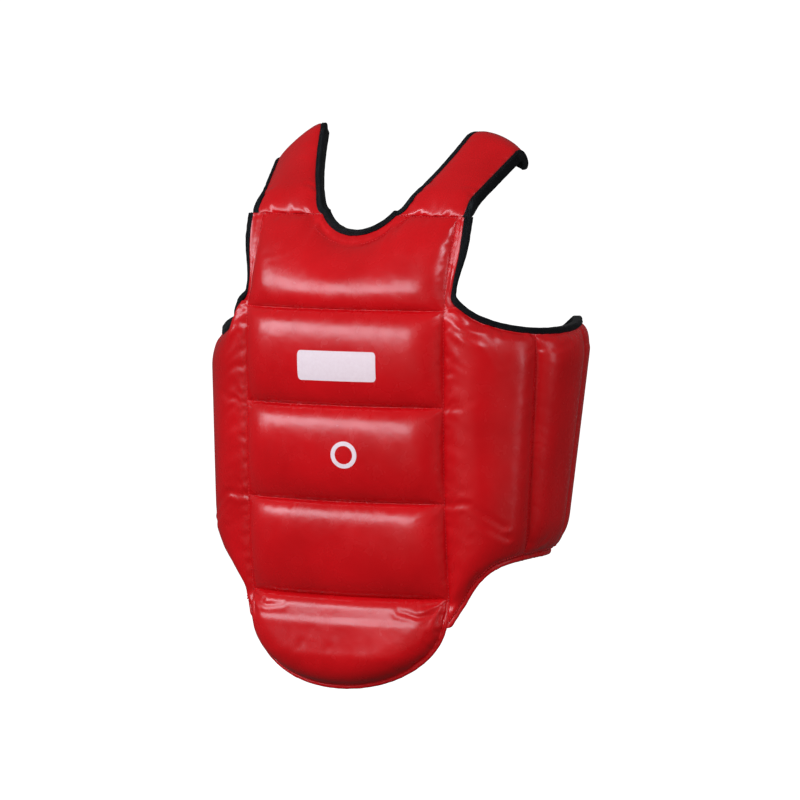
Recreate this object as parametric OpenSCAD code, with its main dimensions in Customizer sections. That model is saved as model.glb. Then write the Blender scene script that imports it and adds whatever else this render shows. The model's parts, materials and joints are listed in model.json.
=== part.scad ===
// Padded chest protector for martial arts: a foam filled front with sewn channels, a hanging
// groin flap, two shoulder straps, two three-channel side wings and elastic back bands.
// Millimetres. +Z is up, -Y is the front, +X is the wearer's left.
// The origin is on the wearer's torso axis, level with the lowest point of the flap.
// Every padded piece is a slab laid on the torso surface: s runs round the torso from the
// front centre, z is height, and t is the distance outwards from the inner face of the pad.

/* [Torso] */
// Half width of the torso oval inside the pads
torso_half_w = 190; // [175:1:205]
// Half depth of the torso oval inside the pads
torso_half_d = 130; // [122:1:138]
// How far the low rear of each wing closes in, per millimetre of height
wing_taper = 0.12; // [0:0.01:0.15]

/* [Pads] */
// Thickness of the front channels at their crown
front_pad = 22; // [16:1:24]
// Thickness of the wing channels at their crown
wing_pad = 20; // [14:1:22]
// Thickness of the shoulder straps at their crown
strap_pad = 16; // [12:1:18]
// Thickness where a channel is sewn flat
pinch = 3; // [2.5:0.1:4]
// Thickness of the cover leather
skin = 1.2; // [1:0.1:1.5]

/* [Front] */
// Half width of the front panel, from the centre to its side seam
panel_half = 118; // [112:1:124]
// Height of the seam between the flap and the lowest rib channel
flap_seam_z = 93.5; // [88:0.5:98]
// Height of one rib channel
rib_h = 99.5; // [92:0.1:102]
// Height of the seam at the foot of each shoulder strap
strap_seam_z = 488; // [480:1:494]
// Radius of the neck scoop
neck_r = 49; // [45:1:53]
// Width of the edge binding
bind_w = 6; // [4:0.5:8]

/* [Wings] */
// Distance round the torso to the seam between the front and side channels
side_seam_s = 212; // [205:1:220]
// Distance round the torso to the seam between the side and rear channels
rear_seam_s = 300; // [292:1:308]
// Distance round the torso to the wing's free end
wing_end_s = 385; // [378:1:388]

/* [Back] */
// Width of the elastic waist bands
band_w = 50; // [40:1:52]
// Middle height of the upper waist band
upper_band_z = 300; // [295:1:305]
// Middle height of the lower waist band
lower_band_z = 190; // [180:1:200]
// Length of each elastic shoulder band
shoulder_band_l = 175; // [150:1:180]

/* [Hidden] */

LEFT = 1;
RIGHT = -1;
RED = [0.78, 0.08, 0.09];
BLACK = [0.09, 0.1, 0.11];
FOAM = [0.85, 0.83, 0.74];

// Gap left between pieces of different bodies at a sewn fold
fold_gap = 0.5;
// Gap left at the foot of a strap, which also folds outwards
strap_gap = 0.9;
// Thickness of the lining cloth
lining_t = 1;
// Clearance between the foam and the cover or lining round it
foam_gap = 0.3;
// Radius of the rounded sides of a channel
puff_r = 24;
// Distances from a channel's side where the rounded profile is sampled
PUFF_STEPS = [0, 3, 8];
// Thickness of a channel where an edge binding closes it
bound_t = 7;

// ---- torso outline: a front arc, a side arc and a rear arc that meet tangentially ----
front_arc = 20;
arc_det = sin(front_arc) * cos(front_arc) - (1 - sin(front_arc)) * (1 - cos(front_arc));
front_r = (torso_half_w * cos(front_arc) - torso_half_d * (1 - sin(front_arc))) / arc_det;
side_r = (torso_half_d * sin(front_arc) - torso_half_w * (1 - cos(front_arc))) / arc_det;
front_len = front_r * front_arc * PI / 180;
side_len = front_len + side_r * (180 - 2 * front_arc) * PI / 180;

function smooth(x, a, b) = let (u = min(1, max(0, (x - a) / (b - a)))) u * u * (3 - 2 * u);
function heading(s) =
    s <= front_len ? s / front_r * 180 / PI :
    s <= side_len ? front_arc + (s - front_len) / side_r * 180 / PI :
    180 - front_arc + (s - side_len) / front_r * 180 / PI;
function arc_centre(h) =
    h <= front_arc ? [0, front_r - torso_half_d] :
    h <= 180 - front_arc ?
        [(front_r - side_r) * sin(front_arc),
         front_r - torso_half_d - (front_r - side_r) * cos(front_arc)] :
    [0, torso_half_d - front_r];
function arc_radius(h) = (h <= front_arc || h > 180 - front_arc) ? front_r : side_r;

// The front bows forward at the ribs: how far a point lies back from that, by height
belly_z = 290;
lean_z = 386;
function bow(z) =
    z < flap_seam_z ? 12 - 6 * smooth(flap_seam_z - z, 0, 30) :
    z < belly_z ? 12 * pow((belly_z - z) / (belly_z - flap_seam_z), 2) :
    25 * pow(max(0, z - lean_z) / 100, 1.15);
// The chest leans back further at its middle than at its sides
function lean(s, z) =
    27 * pow(max(0, z - lean_z) / 100, 1.3) * max(0, 1 - pow(abs(s) / 131, 2));

// Point at s round the torso, height z, t outwards from the inner face of the pad
function at(s, z, t) =
    let (a = abs(s), h = heading(a), c = arc_centre(h), side = s < 0 ? -1 : 1,
         taper = wing_taper * (350 - z) * smooth(a, 150, 260), r = arc_radius(h) + t - taper)
    [side * (c[0] + r * sin(h)),
     c[1] - r * cos(h) + bow(z) * (1 - smooth(a, 128, 205)) + lean(s, z), z];

// ---- slabs ----
function puff(d) = d >= puff_r ? 1 : sqrt(1 - pow(1 - max(0, d) / puff_r, 2));
// Grid lines from a to b: close together at both sides, with n spans between
function lines(a, b, n = 2) = let (l = b - a, e = min(puff_r, 0.3 * l))
    [for (p = PUFF_STEPS) a + min(p, 0.3 * l * p / puff_r * 2.4),
     for (i = [0:n]) a + e + (l - 2 * e) * i / n,
     for (k = [len(PUFF_STEPS) - 1:-1:0]) b - min(PUFF_STEPS[k], 0.3 * l * PUFF_STEPS[k] / puff_r * 2.4)];

// A closed solid between two grids of points, each a list of columns of equal length.
// The columns run round the torso and the points of a column run upwards.
module slab(inner, outer) {
    nu = len(inner);
    nv = len(inner[0]);
    n = nu * nv;
    points = [for (c = inner) each c, for (c = outer) each c];
    function id(i, j) = i * nv + j;
    rim = [for (i = [0:nu - 1]) id(i, 0), for (j = [1:nv - 1]) id(nu - 1, j),
           for (i = [nu - 2:-1:0]) id(i, nv - 1), for (j = [nv - 2:-1:1]) id(0, j)];
    m = len(rim);
    polyhedron(points, [
        for (i = [0:nu - 2]) for (j = [0:nv - 2]) each [
            [id(i, j), id(i + 1, j), id(i + 1, j + 1)],
            [id(i, j), id(i + 1, j + 1), id(i, j + 1)],
            [n + id(i, j), n + id(i + 1, j + 1), n + id(i + 1, j)],
            [n + id(i, j), n + id(i, j + 1), n + id(i + 1, j + 1)]],
        for (k = [0:m - 1]) let (p = rim[k], q = rim[(k + 1) % m]) each [
            [p, n + p, n + q], [p, n + q, q]]]);
}

// A piece of pad on the torso. ss: the columns' s, zz: a function giving a column's heights,
// lo and hi: functions of column and row number giving the inner and outer t.
module torso_slab(ss, zz, lo, hi) {
    function grid(f) = [for (i = [0:len(ss) - 1]) let (z = zz(i))
        [for (j = [0:len(z) - 1]) at(ss[i], z[j], f(i, j))]];
    slab(grid(lo), grid(hi));
}

function inset(list, k) = [for (i = [k:len(list) - 1 - k]) list[i]];

// ---- channels: thickness over one channel from its side, bottom and top distances ----
function channel_t(full, ds, dz, rim_s, rim_z) =
    let (p = puff(ds), q = puff(dz))
    min(rim_s + (full - rim_s) * p, rim_z + (full - rim_z) * q);

// ---- front panel ----
function rib_z(k) = flap_seam_z + k * rib_h;
chest_z = rib_z(3);
neck_z = 473 + neck_r;
cover_neck_r = neck_r + bind_w;
armhole_z = 397;
// Half width of the front at a height: the side seam, then the front edge of the armhole
function front_half(z) = panel_half - fold_gap + 5 * smooth(z, armhole_z, armhole_z + 12)
    + 3 * smooth(z, 415, 455);
function neck_edge(s, r) = neck_z - sqrt(max(0, r * r - s * s));
function chest_top(s) = abs(s) < cover_neck_r ?
    min(strap_seam_z - strap_gap, neck_edge(s, cover_neck_r)) : strap_seam_z - strap_gap;
corner_s = sqrt(pow(cover_neck_r, 2) - pow(neck_z - strap_seam_z + strap_gap, 2));
HALF_COLUMNS = [corner_s / 3, corner_s * 2 / 3, corner_s, 70, 97, panel_half - 11, panel_half - 4,
                panel_half - fold_gap];
FRONT_COLUMNS = [each -reverse(HALF_COLUMNS), 0, each HALF_COLUMNS];
// Heights of the rows of the front, channel by channel
function rib_rows(k) = lines(rib_z(k), rib_z(k + 1));
armhole_row = (armhole_z - chest_z) / (strap_seam_z - strap_gap - chest_z);
function chest_rows(s) = [for (f = [0, 0.03, armhole_row, 0.25, 0.5, 0.75, 0.9, 1])
    chest_z + (chest_top(s) - chest_z) * f];
function inner_rows(list) = [for (i = [0:len(list) - 2]) list[i]];
function front_rows(s) = [flap_seam_z + fold_gap, for (i = [1:len(rib_rows(0)) - 2]) rib_rows(0)[i],
    each inner_rows(rib_rows(1)), each inner_rows(rib_rows(2)), each chest_rows(s)];
function front_s(s, z) = s * front_half(z) / (panel_half - fold_gap);
// Thickness of the front pad at a point
function armhole_rim(z) = pinch + 11 * smooth(z, armhole_z + 5, strap_seam_z - 10);
function front_t(s, z) =
    let (ds = front_half(z) - abs(s), k = min(3, floor((z - flap_seam_z) / rib_h + 0.0001)),
         low = z - rib_z(k) - (k == 0 ? fold_gap : 0),
         high = k < 3 ? rib_z(k + 1) - z : chest_top(s) - z,
         top_rim = k < 3 ? pinch : bound_t + 1)
    min(channel_t(front_pad, ds, low, armhole_rim(z), pinch),
        channel_t(front_pad, ds, high, armhole_rim(z), top_rim));

// A slab over the front panel; rows is a function of s
module front_slab(columns, rows, lo, hi) {
    function grid(f) = [for (s = columns) [for (z = rows(s))
        let (q = front_s(s, z)) at(q, z, f(q, z))]];
    slab(grid(lo), grid(hi));
}
module center_cover() color(RED) front_slab(FRONT_COLUMNS, function (s) front_rows(s),
    function (s, z) front_t(s, z) - skin, function (s, z) front_t(s, z));
module center_lining() color(BLACK) front_slab(FRONT_COLUMNS,
    function (s) let (rows = front_rows(s))
        [flap_seam_z + strap_gap, each inset(rows, 1), rows[len(rows) - 1]],
    function (s, z) -lining_t, function (s, z) 0);
module front_foam(rows) color(FOAM) front_slab(inset(FRONT_COLUMNS, 1), rows,
    function (s, z) foam_gap, function (s, z) front_t(s, z) - skin - foam_gap);
module rib_foam(k) front_foam(function (s) inset(rib_rows(k), 1));
module lower_rib_foam() rib_foam(0);
module mid_rib_foam() rib_foam(1);
module upper_rib_foam() rib_foam(2);
module chest_foam() front_foam(function (s) inset(chest_rows(s), 1));

// A binding: a strip of cloth round an edge. a and b are functions of k = 0..n that give the
// points of the strip's two sides, each as a list of its inner and outer point.
module strip(n, a, b) {
    slab([for (k = [0:n]) [a(k)[0], b(k)[0]]], [for (k = [0:n]) [a(k)[1], b(k)[1]]]);
}
bind_gap = 0.15;
module neck_binding() {
    n = 6;
    function point(k, r) = let (a = asin(corner_s * (2 * k / n - 1) / cover_neck_r), s = r * sin(a),
        z = min(strap_seam_z - strap_gap, neck_z - r * cos(a)))
        [at(s, z, -lining_t), at(s, z, bound_t + 2)];
    color(BLACK) strip(n, function (k) point(k, cover_neck_r - bind_gap), function (k) point(k, neck_r));
}
module armhole_binding(side) {
    rows = [for (z = chest_rows(panel_half)) if (z >= armhole_z - 0.01) z];
    n = len(rows) - 1;
    // The gusset stands out from the edge, wider towards the strap
    function flare(z) = 3 + 2.5 * smooth(z, armhole_z, strap_seam_z - 20);
    function edge(k, d) = let (z = rows[k], s = front_half(z))
        [at(side * (s + d), z, -lining_t), at(side * (s + min(d, 3)), z, armhole_rim(z) + 0.8)];
    color(BLACK)
    if (side > 0) strip(n, function (k) edge(k, flare(rows[k])), function (k) edge(k, bind_gap));
    else strip(n, function (k) edge(k, bind_gap), function (k) edge(k, flare(rows[k])));
}
module left_armhole_binding() armhole_binding(LEFT);
module right_armhole_binding() armhole_binding(RIGHT);

// ---- flap ----
flap_half = 116;
flap_h = 78;
flap_power = 2.05;
function flap_low(s) = flap_h * (1 - pow(1 - pow(min(1, abs(s) / flap_half), flap_power), 1 / flap_power));
FLAP_COLUMNS = [-115.5, -113, -107, -94, -73, -49, -25, 0, 25, 49, 73, 94, 107, 113, 115.5];
flap_top = flap_seam_z - fold_gap;
function flap_rows(s, top = flap_top) = let (low = flap_low(s), l = top - low)
    [for (f = [0, 0.05, 0.14, 0.35, 0.6, 0.82, 0.95, 1]) low + l * f];
// Thickness of the flap, from the distances to its top seam and to its curved rim
function flap_t(s, z) =
    let (rim = min(z - flap_low(s), (flap_half - abs(s)) * 0.9))
    channel_t(front_pad, rim, flap_top - z, pinch, pinch);
module flap_slab(columns, rows, lo, hi) {
    function grid(f) = [for (s = columns) [for (z = rows(s)) at(s, z, f(s, z))]];
    slab(grid(lo), grid(hi));
}
module flap_cover() color(RED) flap_slab(FLAP_COLUMNS, function (s) flap_rows(s),
    function (s, z) flap_t(s, z) - skin, function (s, z) flap_t(s, z));
module flap_foam() color(FOAM) flap_slab(inset(FLAP_COLUMNS, 2),
    function (s) inset(flap_rows(s), 1),
    function (s, z) foam_gap, function (s, z) flap_t(s, z) - skin - foam_gap);
module flap_lining() color(BLACK) flap_slab(FLAP_COLUMNS,
    function (s) flap_rows(s, flap_seam_z - strap_gap),
    function (s, z) -lining_t, function (s, z) 0);

// ---- wings ----
// Distance round the torso at which the armhole edge turns along the wing's top
turn_s = 131;
function wing_low(s) = 64 + 71 * (1 - exp(-pow(max(0, s - panel_half) / 27, 1.25)));
function wing_high(s) = armhole_z - 26 + 25 * exp(-max(0, s - turn_s) / 30)
    + 7 * pow(max(0, min(s, 320) - 204) / 100, 2) - 16 * smooth(s, 330, wing_end_s);
module wing_slab(side, ss, rows, lo, hi) {
    function grid(f) = [for (s = ss) [for (z = rows(s)) at(side * s, z, f(s, z))]];
    if (side > 0) slab(grid(lo), grid(hi));
    else slab(reverse(grid(lo)), reverse(grid(hi)));
}
function reverse(list) = [for (i = [len(list) - 1:-1:0]) list[i]];
function wing_rows(s) = lines(wing_low(s), wing_high(s) - bind_w);
// The columns of a wing channel; the front one has one more where the armhole edge turns
function with(list, x) = [for (v = list) if (v < x) v, x, for (v = list) if (v > x) v];
function wing_columns(a, b) = let (list = lines(a + fold_gap, b - fold_gap))
    a < turn_s ? with(list, turn_s) : list;
// Thickness of a wing channel between a and b; end_rim is the thickness at b
function wing_t(s, z, a, b, end_rim) =
    let (low = z - wing_low(s), high = wing_high(s) - bind_w - z)
    min(channel_t(wing_pad, s - a - fold_gap, low, pinch, pinch),
        channel_t(wing_pad, b - fold_gap - s, low, end_rim, pinch),
        channel_t(wing_pad, s - a - fold_gap, high, pinch, bound_t - 1));
module wing_cover(side, a, b, end_rim = pinch) color(RED)
    wing_slab(side, wing_columns(a, b), function (s) wing_rows(s),
        function (s, z) wing_t(s, z, a, b, end_rim) - skin,
        function (s, z) wing_t(s, z, a, b, end_rim));
module wing_foam(side, a, b, end_rim = pinch) color(FOAM)
    wing_slab(side, inset(wing_columns(a, b), 1),
        function (s) inset(wing_rows(s), 1),
        function (s, z) foam_gap,
        function (s, z) wing_t(s, z, a, b, end_rim) - skin - foam_gap);
module wing_lining(side, a, b) color(BLACK)
    wing_slab(side, wing_columns(a, b), function (s) wing_rows(s),
        function (s, z) -lining_t, function (s, z) 0);
// The top binding stops short of each seam, so that it folds freely
bind_end = 2;
module wing_binding(side, a, b, last = 0) color(BLACK)
    wing_slab(side, [for (s = wing_columns(a, b))
            if (s > max(a + bind_end, turn_s - 1) && s < b - bind_end) s,
            last > 0 ? last : b - bind_end],
        function (s) [wing_high(s) - bind_w + bind_gap, wing_high(s)],
        function (s, z) -lining_t, function (s, z) bound_t);
// The binding down the wing's free end
module end_binding(side) color(BLACK)
    wing_slab(side, [wing_end_s - fold_gap + bind_gap, wing_end_s + 4],
        function (s) [for (f = [0, 0.5, 1]) wing_low(s) + (wing_high(s) - wing_low(s)) * f],
        function (s, z) -lining_t, function (s, z) bound_t);

module left_front_wing_cover() wing_cover(LEFT, panel_half, side_seam_s);
module left_front_wing_lining() wing_lining(LEFT, panel_half, side_seam_s);
module left_front_wing_foam() wing_foam(LEFT, panel_half, side_seam_s);
module left_front_wing_binding() wing_binding(LEFT, panel_half, side_seam_s);
module left_side_wing_cover() wing_cover(LEFT, side_seam_s, rear_seam_s);
module left_side_wing_lining() wing_lining(LEFT, side_seam_s, rear_seam_s);
module left_side_wing_foam() wing_foam(LEFT, side_seam_s, rear_seam_s);
module left_side_wing_binding() wing_binding(LEFT, side_seam_s, rear_seam_s);
module left_rear_wing_cover() wing_cover(LEFT, rear_seam_s, wing_end_s, bound_t);
module left_rear_wing_lining() wing_lining(LEFT, rear_seam_s, wing_end_s);
module left_rear_wing_foam() wing_foam(LEFT, rear_seam_s, wing_end_s, bound_t);
module left_rear_wing_binding() {
    wing_binding(LEFT, rear_seam_s, wing_end_s, wing_end_s - fold_gap);
    end_binding(LEFT);
}
module right_front_wing_cover() wing_cover(RIGHT, panel_half, side_seam_s);
module right_front_wing_lining() wing_lining(RIGHT, panel_half, side_seam_s);
module right_front_wing_foam() wing_foam(RIGHT, panel_half, side_seam_s);
module right_front_wing_binding() wing_binding(RIGHT, panel_half, side_seam_s);
module right_side_wing_cover() wing_cover(RIGHT, side_seam_s, rear_seam_s);
module right_side_wing_lining() wing_lining(RIGHT, side_seam_s, rear_seam_s);
module right_side_wing_foam() wing_foam(RIGHT, side_seam_s, rear_seam_s);
module right_side_wing_binding() wing_binding(RIGHT, side_seam_s, rear_seam_s);
module right_rear_wing_cover() wing_cover(RIGHT, rear_seam_s, wing_end_s, bound_t);
module right_rear_wing_lining() wing_lining(RIGHT, rear_seam_s, wing_end_s);
module right_rear_wing_foam() wing_foam(RIGHT, rear_seam_s, wing_end_s, bound_t);
module right_rear_wing_binding() {
    wing_binding(RIGHT, rear_seam_s, wing_end_s, wing_end_s - fold_gap);
    end_binding(RIGHT);
}

// ---- shoulder straps ----
// Along a strap, a runs 0..1 up its straight front, 1..2 round the shoulder, 2..3 down behind.
// Across it, w runs 0..1 from the neck side to the shoulder side.
strap_run = 73;
strap_bend_r = 5;
strap_tail = 6;
// How gently the strap thins towards its end
strap_hem = 14;
strap_tail_slope = 80;
strap_top_t = 8;
function strap_rise(w) = 73 - 22 * w;
function strap_slope(w) = atan2(strap_rise(w), strap_run);
function beyond(a) = max(0, min(1, a - 1));
function strap_neck_x(a) = 37 + bind_w + 47.5 * pow(min(1, a), 0.5) + 13 * beyond(a);
function strap_arm_x(a) = 125 - 4 + 26 * min(1, a) + 3 * beyond(a);
function strap_x(w, a) = strap_neck_x(a) + (strap_arm_x(a) - strap_neck_x(a)) * w;
function strap_foot(x) = at(x * 1.02, strap_seam_z + strap_gap, 0);
function strap_at(side, w, a, t) =
    let (x = strap_x(w, a), b = strap_slope(w), foot = strap_foot(strap_x(w, 0)),
         u = min(1, a), h = b - beyond(a) * (b + strap_tail_slope),
         y1 = foot[1] + strap_run, z1 = foot[2] + strap_rise(w),
         cy = y1 + strap_bend_r * sin(b), cz = z1 - strap_bend_r * cos(b),
         tail = strap_tail * max(0, a - 2), r = strap_bend_r + t)
    a < 1 ?
        [side * x, foot[1] + strap_run * u - t * sin(b), foot[2] + strap_rise(w) * u + t * cos(b)] :
        [side * x, cy - r * sin(h) + tail * cos(h), cz + r * cos(h) + tail * sin(h)];
STRAP_ROWS = [0, 0.06, 0.22, 0.5, 0.8, 1, 1.25, 1.5, 1.75, 2, 2.5, 3];
STRAP_COLUMNS = [0, 0.06, 0.2, 0.5, 0.8, 0.94, 1];
function strap_t(w, a) =
    let (width = strap_arm_x(a) - strap_neck_x(a), d = min(w, 1 - w) * width,
         foot_d = a * strap_run, end_d = (3 - a) * strap_hem)
    min(channel_t(strap_pad, d, foot_d, strap_top_t, strap_top_t + 1),
        channel_t(strap_pad, d, end_d, strap_top_t, strap_top_t - 2));
module strap_slab(side, columns, rows, lo, hi) {
    function grid(f) = [for (w = columns) [for (a = rows) strap_at(side, w, a, f(w, a))]];
    if (side > 0) slab(grid(lo), grid(hi));
    else slab(reverse(grid(lo)), reverse(grid(hi)));
}
module strap_cover(side) color(RED) strap_slab(side, STRAP_COLUMNS, STRAP_ROWS,
    function (w, a) strap_t(w, a) - skin, function (w, a) strap_t(w, a));
module strap_foam(side) color(FOAM) strap_slab(side, inset(STRAP_COLUMNS, 1),
    inset(STRAP_ROWS, 1), function (w, a) foam_gap,
    function (w, a) strap_t(w, a) - skin - foam_gap);
module strap_lining(side) color(BLACK) strap_slab(side, STRAP_COLUMNS, STRAP_ROWS,
    function (w, a) -lining_t, function (w, a) 0);
// Bindings along the neck side and the shoulder side of a strap
function across(w, a, d) = w + d / (strap_arm_x(a) - strap_neck_x(a));
module strap_binding(side, w, d) {
    function grid(t) = [for (e = w > 0.5 ? [bind_gap, d] : [-d, -bind_gap])
        [for (a = STRAP_ROWS) strap_at(side, across(w, a, e), a, t)]];
    color(BLACK)
    if (side > 0) slab(grid(-lining_t), grid(strap_top_t + 0.8));
    else slab(reverse(grid(-lining_t)), reverse(grid(strap_top_t + 0.8)));
}
module strap_loop_patch(side) color(BLACK) strap_slab(side, [0.2, 0.5, 0.8], [0.22, 0.5, 0.8],
    function (w, a) -lining_t - 1.3, function (w, a) -lining_t - 0.1);

module left_strap_cover() strap_cover(LEFT);
module left_strap_lining() strap_lining(LEFT);
module left_strap_foam() strap_foam(LEFT);
module left_strap_inner_binding() strap_binding(LEFT, 0, bind_w);
module left_strap_outer_binding() strap_binding(LEFT, 1, 4);
module left_strap_loop_patch() strap_loop_patch(LEFT);
module right_strap_cover() strap_cover(RIGHT);
module right_strap_lining() strap_lining(RIGHT);
module right_strap_foam() strap_foam(RIGHT);
module right_strap_inner_binding() strap_binding(RIGHT, 0, bind_w);
module right_strap_outer_binding() strap_binding(RIGHT, 1, 4);
module right_strap_loop_patch() strap_loop_patch(RIGHT);

// ---- elastic back bands ----
// The bands are sewn into the left wing's end, cross the open back and fasten on the
// outside of the right wing with hook tabs.
band_t = 2;
patch_t = 1.2;
tab_t = 1.6;
tab_gap = 0.4;
peel_s = wing_end_s - 22;
tab_end_s = peel_s - 38;
tab_base_t = wing_pad + patch_t + tab_gap;
// A ribbon through plan points given as [s, t], between two heights
module ribbon(path, z0, z1, thick) {
    function grid(d) = [for (p = path) [for (z = [z0, z1]) at(p[0], z, p[1] + d)]];
    slab(reverse(grid(0)), reverse(grid(thick)));
}
// The stretch of band across the open back runs straight between these two points
band_mid_s = wing_end_s + 50;
band_mid_t = 14;
module waist_band(z) color(BLACK) ribbon([
    [wing_end_s + 4.2, 2], [wing_end_s + 22, 8], [band_mid_s, band_mid_t],
    [-band_mid_s, band_mid_t], [-wing_end_s - 16, tab_base_t - 3],
    [-wing_end_s + 2, tab_base_t], [-peel_s - 0.6, tab_base_t]],
    z - band_w / 2, z + band_w / 2, band_t);
module hook_tab(z) color(BLACK) ribbon([
    [-peel_s + 0.6, tab_base_t], [-peel_s + 20, tab_base_t], [-tab_end_s, tab_base_t]],
    z - band_w / 2 + 2, z + band_w / 2 - 2, tab_t);
module loop_patch(z) color(BLACK) ribbon([
    [-peel_s + 4, wing_pad + 0.1], [-peel_s + 20, wing_pad + 0.1], [-tab_end_s - 2, wing_pad + 0.1]],
    z - band_w / 2 + 2, z + band_w / 2 - 2, patch_t - 0.1);
module upper_waist_band() waist_band(upper_band_z);
module lower_waist_band() waist_band(lower_band_z);
module upper_hook_tab() hook_tab(upper_band_z);
module lower_hook_tab() hook_tab(lower_band_z);
module upper_loop_patch() loop_patch(upper_band_z);
module lower_loop_patch() loop_patch(lower_band_z);

// The yoke is sewn flat on the outside of the upper band and stands a little above it
yoke_half = 88;
yoke_top = 334;
yoke_t = 2;
function yoke_y(z) = at(band_mid_s, z, band_mid_t + band_t + bind_gap)[1];
module back_yoke() color(BLACK) {
    bottom = upper_band_z - band_w / 2;
    slab([for (x = [-yoke_half, yoke_half]) [for (z = [yoke_top, bottom]) [x, yoke_y(z), z]]],
         [for (x = [-yoke_half, yoke_half]) [for (z = [yoke_top, bottom]) [x, yoke_y(z) + yoke_t, z]]]);
}
// The shoulder bands hang from the yoke until they are fastened under the straps
shoulder_x = 68;
shoulder_w = 34;
shoulder_t = 1.8;
shoulder_tab_l = 40;
shoulder_gap = 0.8;
shoulder_y = yoke_y(yoke_top) + yoke_t + shoulder_gap;
shoulder_top = yoke_top - 4;
module shoulder_piece(side, low, high, thick) color(BLACK)
    translate([side * shoulder_x - shoulder_w / 2, shoulder_y, shoulder_top - low])
        cube([shoulder_w, thick, low - high]);
module shoulder_band(side) shoulder_piece(side, shoulder_band_l - shoulder_tab_l, 0, shoulder_t);
module shoulder_tab(side) shoulder_piece(side, shoulder_band_l,
    shoulder_band_l - shoulder_tab_l, shoulder_t + 1);
module left_shoulder_band() shoulder_band(LEFT);
module right_shoulder_band() shoulder_band(RIGHT);
module left_shoulder_tab() shoulder_tab(LEFT);
module right_shoulder_tab() shoulder_tab(RIGHT);

center_cover();
center_lining();
chest_foam();
upper_rib_foam();
mid_rib_foam();
lower_rib_foam();
neck_binding();
left_armhole_binding();
right_armhole_binding();
flap_cover();
flap_lining();
flap_foam();
left_strap_cover();
left_strap_lining();
left_strap_foam();
left_strap_inner_binding();
left_strap_outer_binding();
left_strap_loop_patch();
right_strap_cover();
right_strap_lining();
right_strap_foam();
right_strap_inner_binding();
right_strap_outer_binding();
right_strap_loop_patch();
left_front_wing_cover();
left_front_wing_lining();
left_front_wing_foam();
left_front_wing_binding();
left_side_wing_cover();
left_side_wing_lining();
left_side_wing_foam();
left_side_wing_binding();
left_rear_wing_cover();
left_rear_wing_lining();
left_rear_wing_foam();
left_rear_wing_binding();
right_front_wing_cover();
right_front_wing_lining();
right_front_wing_foam();
right_front_wing_binding();
right_side_wing_cover();
right_side_wing_lining();
right_side_wing_foam();
right_side_wing_binding();
right_rear_wing_cover();
right_rear_wing_lining();
right_rear_wing_foam();
right_rear_wing_binding();
upper_waist_band();
lower_waist_band();
upper_hook_tab();
lower_hook_tab();
upper_loop_patch();
lower_loop_patch();
back_yoke();
left_shoulder_band();
left_shoulder_tab();
right_shoulder_band();
right_shoulder_tab();
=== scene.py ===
"""Padded chest protector: glossy red covers, black bindings and elastic back bands,
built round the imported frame.

Lengths inside this script are millimetres; mesh_object() turns them into metres.
+Z is up, -Y is the front and +X is the wearer's left.
Most pieces are laid on the torso surface: s runs round it from the front centre,
z is height, and t is the distance outwards from the pads' inner face.
"""
import json
import math

import bpy
import numpy as np
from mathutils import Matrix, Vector

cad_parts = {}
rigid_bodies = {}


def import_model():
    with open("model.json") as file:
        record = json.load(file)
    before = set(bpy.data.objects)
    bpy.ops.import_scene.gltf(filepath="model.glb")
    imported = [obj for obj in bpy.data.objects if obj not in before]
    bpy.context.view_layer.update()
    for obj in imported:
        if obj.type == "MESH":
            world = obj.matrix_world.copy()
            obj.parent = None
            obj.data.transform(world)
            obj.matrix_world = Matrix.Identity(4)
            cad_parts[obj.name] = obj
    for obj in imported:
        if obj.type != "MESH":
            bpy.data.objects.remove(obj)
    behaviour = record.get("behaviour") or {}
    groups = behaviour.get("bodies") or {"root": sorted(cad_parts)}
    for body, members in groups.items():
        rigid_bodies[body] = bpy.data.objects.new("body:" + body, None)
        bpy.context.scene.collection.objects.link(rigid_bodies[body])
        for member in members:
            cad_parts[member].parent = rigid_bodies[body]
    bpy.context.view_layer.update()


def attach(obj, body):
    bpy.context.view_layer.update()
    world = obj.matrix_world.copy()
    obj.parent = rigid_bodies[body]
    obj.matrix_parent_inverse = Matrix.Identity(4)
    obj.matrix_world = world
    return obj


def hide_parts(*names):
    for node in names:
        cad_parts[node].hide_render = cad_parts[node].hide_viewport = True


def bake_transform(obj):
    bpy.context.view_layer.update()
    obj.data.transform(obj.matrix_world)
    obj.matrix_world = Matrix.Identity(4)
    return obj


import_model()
CAD_NODES = {obj.name for obj in bpy.data.objects}
MM = 0.001
SIDES = {"left": 1, "right": -1}

# ---------------------------------------------------------------- driving sizes
TORSO_HALF_W = 190
TORSO_HALF_D = 130
FRONT_ARC = math.radians(20)
WING_TAPER = 0.12
BELLY_Z = 290
LEAN_Z = 386

# thicknesses: of the pads, of the covers at their sewn edges, and of the cloth itself
FRONT_PAD = 23
WING_PAD = 20
STRAP_PAD = 16
PINCH = 3
SEAM_T = 6.5
WING_SEAM_T = 10
BOUND_T = 7
SKIN = 1.2
LINING = 1.0

PANEL_HALF = 118
FLAP_SEAM_Z = 93.5
RIB_H = 99.5
CHEST_Z = FLAP_SEAM_Z + 3 * RIB_H
STRAP_SEAM_Z = 488
ARMHOLE_Z = 397
NECK_EDGE_R = 55
NECK_Z = 522
BIND_W = 6
STRIP_W = 10

SIDE_SEAM_S = 212
REAR_SEAM_S = 300
WING_END_S = 385
WING_TOP_Z = 365
TURN_S = 130

FLAP_HALF = 117
FLAP_H = 78
FLAP_POWER = 2.05
FLAP_PAD = 24

STRAP_RUN = 73
STRAP_RISE = {"left": 73, "right": 80}
STRAP_DROP = {"left": 18, "right": 36}
STRAP_BEND_R = 5
STRAP_TAIL = 6
STRAP_TAIL_SLOPE = math.radians(80)
STRAP_L = 98
STRAP_END = 14

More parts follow.
